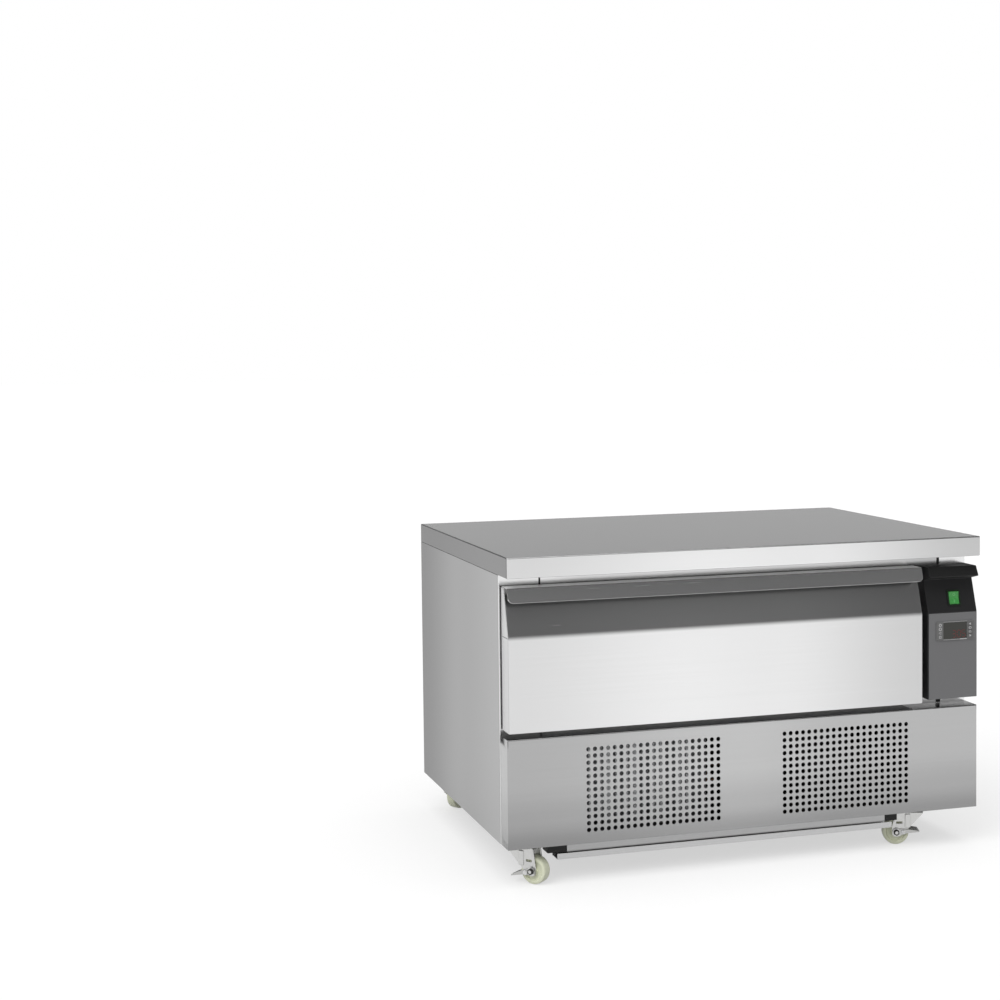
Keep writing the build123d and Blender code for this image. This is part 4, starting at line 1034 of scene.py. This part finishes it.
# Each sign has a radius, a number of sides, a turn in degrees and a ring's width or zero.
FRAME_SIGNS = [(3.2, 6, 30, 1.4), (3.2, 16, 0, 1.2), (3.3, 3, 90, 1.0), (3.3, 4, 45, 1.2)]
KEY_SIGNS = [(2.6, 3, 90, 0), (2.6, 16, 0, 0.9), (2.6, 4, 45, 0.9), (2.6, 3, -90, 0)]
LINE_HEIGHTS = {-17.0: 0.5, 17.0: 0.4}
HIGHLIGHT_BAR_X = (427.0, 441.5)
HIGHLIGHT_BAR_Z = (394.6, 396.0)
UPRIGHT = turned(90, "X")


def flat_shape(bm, radius, sides, ring):
    """A polygon that lies flat at the origin, or a ring of some width. Returns its vertices."""
    radius *= MM
    made = bmesh.ops.create_circle(bm, cap_ends=True, radius=radius, segments=sides)["verts"]
    if ring:
        face = made[0].link_faces[0]
        bmesh.ops.inset_region(bm, faces=[face], thickness=ring * MM, use_boundary=True)
        take_out(bm, [face])
        made = [vertex for vertex in bm.verts if vertex.co.length < radius * 1.01]
    return made


def sign(bm, x, z, front, radius, sides, turn, ring):
    """A sign just proud of a front plane."""
    made = flat_shape(bm, radius, sides, ring)
    move(bm, at(x, front - PROUD, z) @ UPRIGHT @ turned(turn, "Z"), made)


def frame_signs_and_painted_highlight():
    """Four signs beside the window, a thin line above and below it, and a short painted
    highlight.
    """
    bm = bmesh.new()
    for height, shape in zip(KEY_HEIGHTS, FRAME_SIGNS):
        sign(bm, SIGN_X, height, FRAME_FRONT_Y, *shape)
    for up, height in LINE_HEIGHTS.items():
        block(bm, window_xs, about(FRAME_FRONT_Y, 0.1), about(CONTROLLER_Z + up, height / 2))
    # The short white bar is a painted highlight along the window's lower edge.
    block(bm, HIGHLIGHT_BAR_X, (FRAME_FRONT_Y - PROUD, FRAME_FRONT_Y + 0.1), HIGHLIGHT_BAR_Z)
    return bm


add_piece(
    "frame_signs_and_painted_highlight", frame_signs_and_painted_highlight(), "white_print_and_painted_highlight", "cabinet",
    thickness=PRINT,
)
for number, (height, shape) in enumerate(zip(KEY_HEIGHTS, KEY_SIGNS), 1):
    key_sign = bmesh.new()
    sign(key_sign, KEY_X, height, KEY_Y[0], *shape)
    add_piece(
        f"key_sign_{number}", key_sign, "white_print_and_painted_highlight", f"controller_key_{number}",
        thickness=PRINT,
    )

# %% Digits behind the window
DIGIT_HALF = (3.5, 6.5)
STROKE = 1.3
STROKE_LONG = (5.18, 4.94)
STROKE_Y = (WINDOW_Y[0] - 0.06, WINDOW_Y[0] + 0.1)
STROKE_PLACES = {
    "a": (0, 1), "b": (1, 0.5), "c": (1, -0.5), "d": (0, -1), "e": (-1, -0.5), "f": (-1, 0.5),
    "g": (0, 0),
}
LIT_STROKES = {"3": "abgcd", "0": "abcdef", "5": "afgcd"}
DIGIT_PLACES = [("3", 415.0), ("0", 425.0), ("5", 435.0)]
DIGIT_Z = 405.5


def digits():
    """Three digits of up to seven strokes, where a to g go round from the top to the middle."""
    bm = bmesh.new()
    for digit, x in DIGIT_PLACES:
        for name in LIT_STROKES[digit]:
            across, up = STROKE_PLACES[name]
            wide, tall = (STROKE, STROKE_LONG[1]) if across else (STROKE_LONG[0], STROKE)
            block(
                bm, about(x + across * DIGIT_HALF[0], wide / 2), STROKE_Y,
                about(DIGIT_Z + up * DIGIT_HALF[1], tall / 2),
            )
    return bm


add_piece("display_digits", digits(), "digit_red", "cabinet")

# %% [markdown]
# Rocker switch
#
# The switch is a lit rocker in a snap-in frame on the leaning face. It is modelled lying flat
# on the ground, where its two tilted faces are easy to draw as a side view, and one matrix
# then carries it to the leaning face. The lamp behind the green plastic lights it unevenly, so
# the finish has coarse patches of a lighter and a darker green.

# %% Rocker and its frame
PIVOT_DEPTH = 3.0
ROCKER_REST = at(0, 0, -PIVOT_DEPTH) @ turned(7, "X")
ROCKER_X = (-10.5, 10.5)
ROCKER_LONG = 12.0
ROCKER_TOP = 5.5
VALLEY_TOP = 3.8
ROCKER_SIDE = [
    (-ROCKER_LONG, ROCKER_TOP), (0, VALLEY_TOP), (ROCKER_LONG, ROCKER_TOP), (ROCKER_LONG, 0),
    (8, -7), (-8, -7), (-ROCKER_LONG, 0),
]
ROCKER_SLOPE = math.degrees(math.atan2(ROCKER_TOP - VALLEY_TOP, ROCKER_LONG))
ROCKER_BEND = 0.9 * MM
VALLEY_BEND = 3 * MM
OFF_RING = (2.6, 20, 0.8)
ON_BAR_HALF = (0.5, 2.6, 0.05)
SIGN_AWAY = 6.5
OFF_UP, ON_UP = 4.85, 4.82
SWITCH_FRAME_HALF = (13.5, 15.5)
SWITCH_FRAME_TOP = 2.0
SWITCH_FRAME_DEPTH = 9.0
SWITCH_FRAME_CORNER = 2.5 * MM
SWITCH_FRAME_BEND = 0.7 * MM
SWITCH_FRAME_WALL = 2.6 * MM


def onto_lean(bm, extra=Matrix.Identity(4)):
    """Carries what lies flat at the origin, with Y up the face and Z out of it, to the switch."""
    turn = Matrix((Vector((1, 0, 0)), UP_THE_LEAN, OUT_OF_LEAN)).transposed().to_4x4()
    move(bm, Matrix.Translation(SWITCH_CENTRE) @ turn @ extra)


def in_valley(edge):
    return along(edge, X) and abs(middle(edge).y) < MM


def rocker():
    bm = bmesh.new()
    prism(bm, ROCKER_SIDE, *ROCKER_X)
    for valley, radius, segments in ((False, ROCKER_BEND, 3), (True, VALLEY_BEND, 4)):
        top = [e for e in bm.edges if middle(e).z > 3 * MM and in_valley(e) == valley]
        soften(bm, top, radius, segments)
    onto_lean(bm, ROCKER_REST)
    return bm


def rocker_signs():
    """The ring and the bar that stand for off and on, on the two halves of the rocker."""
    bm = bmesh.new()
    ring = flat_shape(bm, *OFF_RING)
    move(bm, at(0, SIGN_AWAY, OFF_UP) @ turned(ROCKER_SLOPE, "X"), ring)
    line = block(bm, *[(-half, half) for half in ON_BAR_HALF])
    move(bm, at(0, -SIGN_AWAY, ON_UP) @ turned(-ROCKER_SLOPE, "X"), line)
    onto_lean(bm, ROCKER_REST)
    return bm


def switch_frame():
    bm = bmesh.new()
    made = bmesh.ops.create_grid(bm, x_segments=1, y_segments=1, size=1.0 * MM)["verts"]
    bmesh.ops.scale(bm, verts=made, vec=Vector((*SWITCH_FRAME_HALF, 1)))
    bmesh.ops.translate(bm, verts=made, vec=mm(0, 0, SWITCH_FRAME_TOP))
    soften(bm, made, SWITCH_FRAME_CORNER, 5, "VERTICES")
    face = next(iter(bm.faces))
    bmesh.ops.inset_region(bm, faces=[face], thickness=SWITCH_FRAME_WALL, use_boundary=True)
    rim = face.edges[:]
    take_out(bm, [face], "FACES_ONLY")
    outer = [edge for edge in bm.edges if edge.is_boundary and edge not in rim]
    pull_edges(bm, rim, mm(0, 0, -SWITCH_FRAME_DEPTH))
    pull_edges(bm, outer, mm(0, 0, -SWITCH_FRAME_TOP))
    top = [e for e in folds(bm) if middle(e).z > (SWITCH_FRAME_TOP - 0.1) * MM]
    soften(bm, top, SWITCH_FRAME_BEND)
    onto_lean(bm)
    return bm


add_piece("rocker", rocker(), "rocker_green", "switch_rocker", ["switch_rocker"])
add_piece("rocker_signs", rocker_signs(), "sign_green", "switch_rocker")
add_piece(
    "switch_frame", switch_frame(), "switch_black", "cabinet", ["switch_body"],
)

# %% [markdown]
# Castors
#
# Each castor is four pieces that turn on one another: a plate bolted under the base with the
# upper ball race, a pressed fork, a nylon wheel on an axle bolt, and on the front two a foot
# brake. All are made once round the kingpin, with the trail along +X, and a matrix puts them
# in each corner at the turn that the photograph shows. The wheel is a spun profile, and the
# fork is one sheet with two arms folded down, rounded where it holds the axle.

# %% Places of the castors
TRAIL = 23.0
AXLE_HEIGHT = 25.0
# Each castor has a place in X and Y, a turn and, with a brake, its pedal's drop in degrees.
CASTORS = {
    "front_left": (-421.0, -267.0, -48.0, 17.0),
    "front_right": (341.0, -267.0, 162.0, 0.0),
    "rear_left": (-421.0, 275.0, 35.0, None),
    "rear_right": (341.0, 275.0, 100.0, None),
}
AXLE_PLACE = at(TRAIL, 0, AXLE_HEIGHT)


def spun(bm, profile, steps=40, closed=True):
    """Spins a profile of (radius, place along Y) in millimetres about Y."""
    loop = [bm.verts.new(mm(radius, place, 0)) for radius, place in profile]
    start = 0 if closed else 1
    edges = [bm.edges.new((loop[i - 1], loop[i])) for i in range(start, len(loop))]
    bmesh.ops.spin(
        bm, geom=loop + edges, cent=(0, 0, 0), axis=(0, 1, 0), dvec=(0, 0, 0),
        angle=math.tau, steps=steps, use_merge=True, use_duplicate=False,
    )


def bar(bm, radius, y0, y1, sides=24, ease=0.0):
    """A closed round or six-sided bar along Y with eased ends."""
    made = bmesh.ops.create_cone(
        bm, cap_ends=True, segments=sides, radius1=radius * MM, radius2=radius * MM,
        depth=(y1 - y0) * MM,
    )["verts"]
    move(bm, at(0, (y0 + y1) / 2, 0) @ UPRIGHT, made)
    if ease:
        soften(bm, {edge for edge in edges_of(made) if not along(edge, Y)}, ease * MM, 2)


def merge(bm, other, matrix):
    """Moves a second mesh into the first."""
    move(other, matrix)
    carrier = bpy.data.meshes.new("carrier")
    other.to_mesh(carrier)
    other.free()
    bm.from_mesh(carrier)
    bpy.data.meshes.remove(carrier)


def ordered(side, near, far):
    return sorted((side * near, side * far))


# %% Wheels
WHEEL_HALF_PROFILE = [
    (3.6, 10.0), (7.2, 10.0), (8.2, 9.0), (8.6, 7.4), (17.2, 7.0), (18.4, 9.3), (19.4, 10.0),
    (22.4, 10.0), (24.0, 9.3), (24.8, 7.8), (25.0, 4.5),
]


def wheel():
    bm = bmesh.new()
    mirrored = [(radius, -place) for radius, place in WHEEL_HALF_PROFILE]
    spun(bm, mirrored + WHEEL_HALF_PROFILE[::-1])
    move(bm, AXLE_PLACE)
    return bm


# %% Forks
CROWN_Z = 64.0
ARM_OUTLINE = [(-28, CROWN_Z), (26, CROWN_Z), (31, 30), (31, 16), (15.5, 15.5), (-28, 60.5)]
ARM_Y = 13.5
ARM_SHEET = 2.5 * MM
ARM_END = 7.5 * MM
CROWN_BEND = 3 * MM
SLOT_X = (11.0, 23.0)
SLOT_Z = (40.8, 45.2)
RIB_X = (-4.0, 6.5)
RIB_Z = (33.5, 60.0)
RIB_BEND = 1.5 * MM
AXLE_RADIUS, WASHER_RADIUS, NUT_RADIUS = 3.2, 7.8, 6.0
# The washers begin further out where a pedal hangs on the axle.
BRAKED_Y, FREE_Y = 16.1, 13.5


def fork():
    """Crown and arms as one folded sheet, with a slot in each arm."""
    bm = bmesh.new()
    arms = [face_of(bm, [mm(x, side * ARM_Y, z) for x, z in ARM_OUTLINE]) for side in (-1, 1)]
    near, far = arms[0].verts[:], arms[1].verts[:]
    bm.faces.new((near[0], near[1], far[1], far[0]))
    ends = [v for v in bm.verts if v.co.x > 15 * MM and v.co.z < 17 * MM]
    soften(bm, ends, ARM_END, 6, "VERTICES")
    cut_across(bm, X, [x * MM for x in SLOT_X])
    cut_across(bm, Z, [z * MM for z in SLOT_Z])
    slot = [rectangle(SLOT_X, SLOT_Z)]
    take_out(bm, [face for face in bm.faces if inside(slot, face)])
    crown = [e for e in folds(bm) if along(e, X) and middle(e).z > (CROWN_Z - 0.1) * MM]
    soften(bm, crown, CROWN_BEND, 4)
    return bm


def fork_fittings(start):
    """Pressed ribs on the arms, and the axle with its washers. Its end shows in the nut."""
    bm = bmesh.new()
    for side in (-1, 1):
        rib = block(bm, RIB_X, ordered(side, ARM_Y - 0.5, ARM_Y + 1.6), RIB_Z)
        soften(bm, {e for e in edges_of(rib) if abs(middle(e).y) > ARM_Y * MM}, RIB_BEND, 4)
    axle = bmesh.new()
    bar(axle, AXLE_RADIUS, -start - 4.9, start + 4.9, ease=0.4)
    for side in (-1, 1):
        bar(axle, WASHER_RADIUS, *ordered(side, start, start + 1), sides=32, ease=0.25)
    merge(bm, axle, AXLE_PLACE)
    return bm


def axle_nuts(start):
    """A nut on each end of the axle, drawn as a six-sided ring that is dished inside."""
    bm = bmesh.new()
    for side in (-1, 1):
        nut = bmesh.new()
        bar(nut, NUT_RADIUS, *ordered(side, start + 1, start + 4.4), sides=6, ease=0.6)
        outer = [f for f in nut.faces if f.normal.y * side > 0.99 and len(f.verts) > 4]
        bmesh.ops.inset_region(nut, faces=outer, thickness=1.4 * MM)
        dish = list({vertex for face in outer for vertex in face.verts})
        bmesh.ops.translate(nut, verts=dish, vec=mm(0, -side * 0.8, 0))
        merge(bm, nut, AXLE_PLACE)
    return bm


# %% Foot brakes
CHEEK_OUTLINE = [
    (8, -5.5), (8, 5.5), (-10, 6), (-27, 4.5), (-44, 2), (-44, 0), (-27, -1.5), (-19, -2.5),
    (-8, -5.5),
]
CHEEK_Y = 13.9
CHEEK_SHEET = 1.8
CHEEK_END = 4 * MM
TREAD_X = (-44.0, -27.0)
TREAD_THICK = 2.0
TREAD_BARS = (-42.0, -37.0, -32.0)
TREAD_BAR_WIDE = 2.2
RIVET_X = -13.0
RIVET_RADIUS = 4.6


def pedal(drop):
    """Two cheeks on the axle, joined by a tread with three raised bars."""
    bm = bmesh.new()
    outer = CHEEK_Y + CHEEK_SHEET
    for side in (-1, 1):
        face = face_of(bm, [mm(x, side * CHEEK_Y, z) for x, z in CHEEK_OUTLINE])
        pull(bm, [face], mm(0, side * CHEEK_SHEET, 0))
    soften(bm, [e for e in bm.edges if along(e, Y) and middle(e).x > 7 * MM], CHEEK_END, 5)
    block(bm, TREAD_X, about(0, outer - 0.1), (0, TREAD_THICK))
    for x in TREAD_BARS:
        raised = block(bm, (x, x + TREAD_BAR_WIDE), about(0, outer - 4), (1.8, 3.0))
        soften(bm, {e for e in edges_of(raised) if middle(e).z > 2.5 * MM}, 0.5 * MM, 2)
    for side in (-1, 1):
        rivet = bmesh.new()
        bar(rivet, RIVET_RADIUS, *ordered(side, outer - 0.3, outer + 1.8), ease=1.2)
        # The rivet heads take the second finish, a pale painted highlight.
        for face in rivet.faces:
            face.material_index = 1
        merge(bm, rivet, at(RIVET_X, 0, 0))
    move(bm, AXLE_PLACE @ turned(-drop, "Y"))
    return bm


# %% Mounting plates
MOUNT_Z = (68.5, 71.0)
MOUNT_HALF = 27.0
MOUNT_CORNER = 5 * MM
BOLT_PLACES = [(sx * 20, sy * 20) for sx in (-1, 1) for sy in (-1, 1)]
BOLT_LOW = 65.3
BOLT_RADIUS, BOLT_WASHER_RADIUS = 5.2, 6.8
RACE_PROFILE = [
    (4.5, 64.4), (13.0, 64.4), (15.4, 65.0), (16.0, 66.2), (15.4, 67.2), (17.6, 68.6),
    (4.5, 68.6),
]


def mounting_plate():
    bm = bmesh.new()
    spun(bm, RACE_PROFILE)
    move(bm, UPRIGHT)
    made = block(bm, about(0, MOUNT_HALF), about(0, MOUNT_HALF), MOUNT_Z)
    soften(bm, {edge for edge in edges_of(made) if along(edge, Z)}, MOUNT_CORNER, 5)
    for x, y in BOLT_PLACES:
        head = bmesh.new()
        bar(head, BOLT_RADIUS, BOLT_LOW, MOUNT_Z[0], sides=6, ease=0.4)
        bar(head, BOLT_WASHER_RADIUS, MOUNT_Z[0] - 0.9, MOUNT_Z[0] + 0.1)
        merge(bm, head, at(x, y, 0) @ UPRIGHT)
    return bm


# %% Put the castors together
for corner, (x, y, turn, drop) in CASTORS.items():
    place = at(x, y, 0)
    start = FREE_Y if drop is None else BRAKED_Y
    fork_body, wheel_body, pedal_body = [
        f"{kind}_{corner}" for kind in ("castor_fork", "castor_wheel", "brake_pedal")
    ]
    pieces = [
        ("wheel", wheel(), "wheel_nylon", wheel_body, 0.0, None),
        ("fork", fork(), "castor_zinc", fork_body, ARM_SHEET, None),
        ("fork_fittings", fork_fittings(start), "castor_zinc", fork_body, 0.0, None),
        ("axle_nuts", axle_nuts(start), "dark_and_painted_shade", fork_body, 0.0, "castor_zinc"),
    ]
    if drop is not None:
        pieces.append(("pedal", pedal(drop), "pedal_zinc", pedal_body, 0.0, None))
    for name, bm, finish, body, thickness, slot in pieces:
        move(bm, place @ turned(turn, "Z"))
        piece = add_piece(f"{name}_{corner}", bm, finish, body, [body], thickness)
        # The pedal's second finish is the pale painted highlight of its rivets.
        if name == "pedal":
            piece.data.materials.append(FINISHES["painted_highlight"])
    # The plate under the base gets the dark finish as painted shade.
    mount = mounting_plate()
    move(mount, place)
    add_piece(
        f"mounting_plate_{corner}", mount, "dark_and_painted_shade", "cabinet", ["castor_plates"],
    )

# %% [markdown]
# Rear screws and drawer gasket
#
# The rear sheet is held by pan-head screws along its edges. A screw head is a low dome with a
# cross pressed into it: a spun profile gives the dome, and two thin dark bars laid across its
# top stand for the cross at this size, as painted shade in its recess. The gasket on the
# drawer's back is a soft tube with a lip, so its copy gets its edges well rounded.

# %% Screws
SCREW_PLACES = [(x, z) for x in (-440, -150, 150, 440) for z in (84, 540)]
SCREW_PLACES += [(x, z) for x in (-440, 440) for z in (236, 388)]
SCREW_FACE_Y = 314.2
SCREW_PROFILE = [(0.0, 0.0), (3.9, 0.0), (3.7, 0.9), (2.8, 1.7), (1.4, 2.1), (0.0, 2.1)]
SCREW_TURN = 37
CROSS_HALF = (2.0, 0.4)
CROSS_Y = (1.6, 2.16)


def screws():
    bm = bmesh.new()
    for x, z in SCREW_PLACES:
        head = bmesh.new()
        spun(head, SCREW_PROFILE, 20, closed=False)
        bmesh.ops.remove_doubles(head, verts=head.verts[:], dist=1e-6)
        merge(bm, head, at(x, SCREW_FACE_Y, z))
    return bm


def cross_shades():
    bm = bmesh.new()
    for index, (x, z) in enumerate(SCREW_PLACES):
        cross = bmesh.new()
        for half_x, half_z in (CROSS_HALF, CROSS_HALF[::-1]):
            block(cross, about(0, half_x), CROSS_Y, about(0, half_z))
        merge(bm, cross, at(x, SCREW_FACE_Y, z) @ turned(SCREW_TURN * index, "Y"))
    return bm


add_piece("rear_screws", screws(), "slide_zinc", "cabinet")
add_piece("rear_screw_cross_shades", cross_shades(), "dark_and_painted_shade", "cabinet")

# %% Gasket
GASKET_BEND = 1.1 * MM
gasket = copy_of("drawer_gasket")
soften(gasket, [e for e in folds(gasket, 0.8) if not along(e, Y)], GASKET_BEND)
add_piece("gasket", gasket, "gasket_black", "drawer", ["drawer_gasket"])
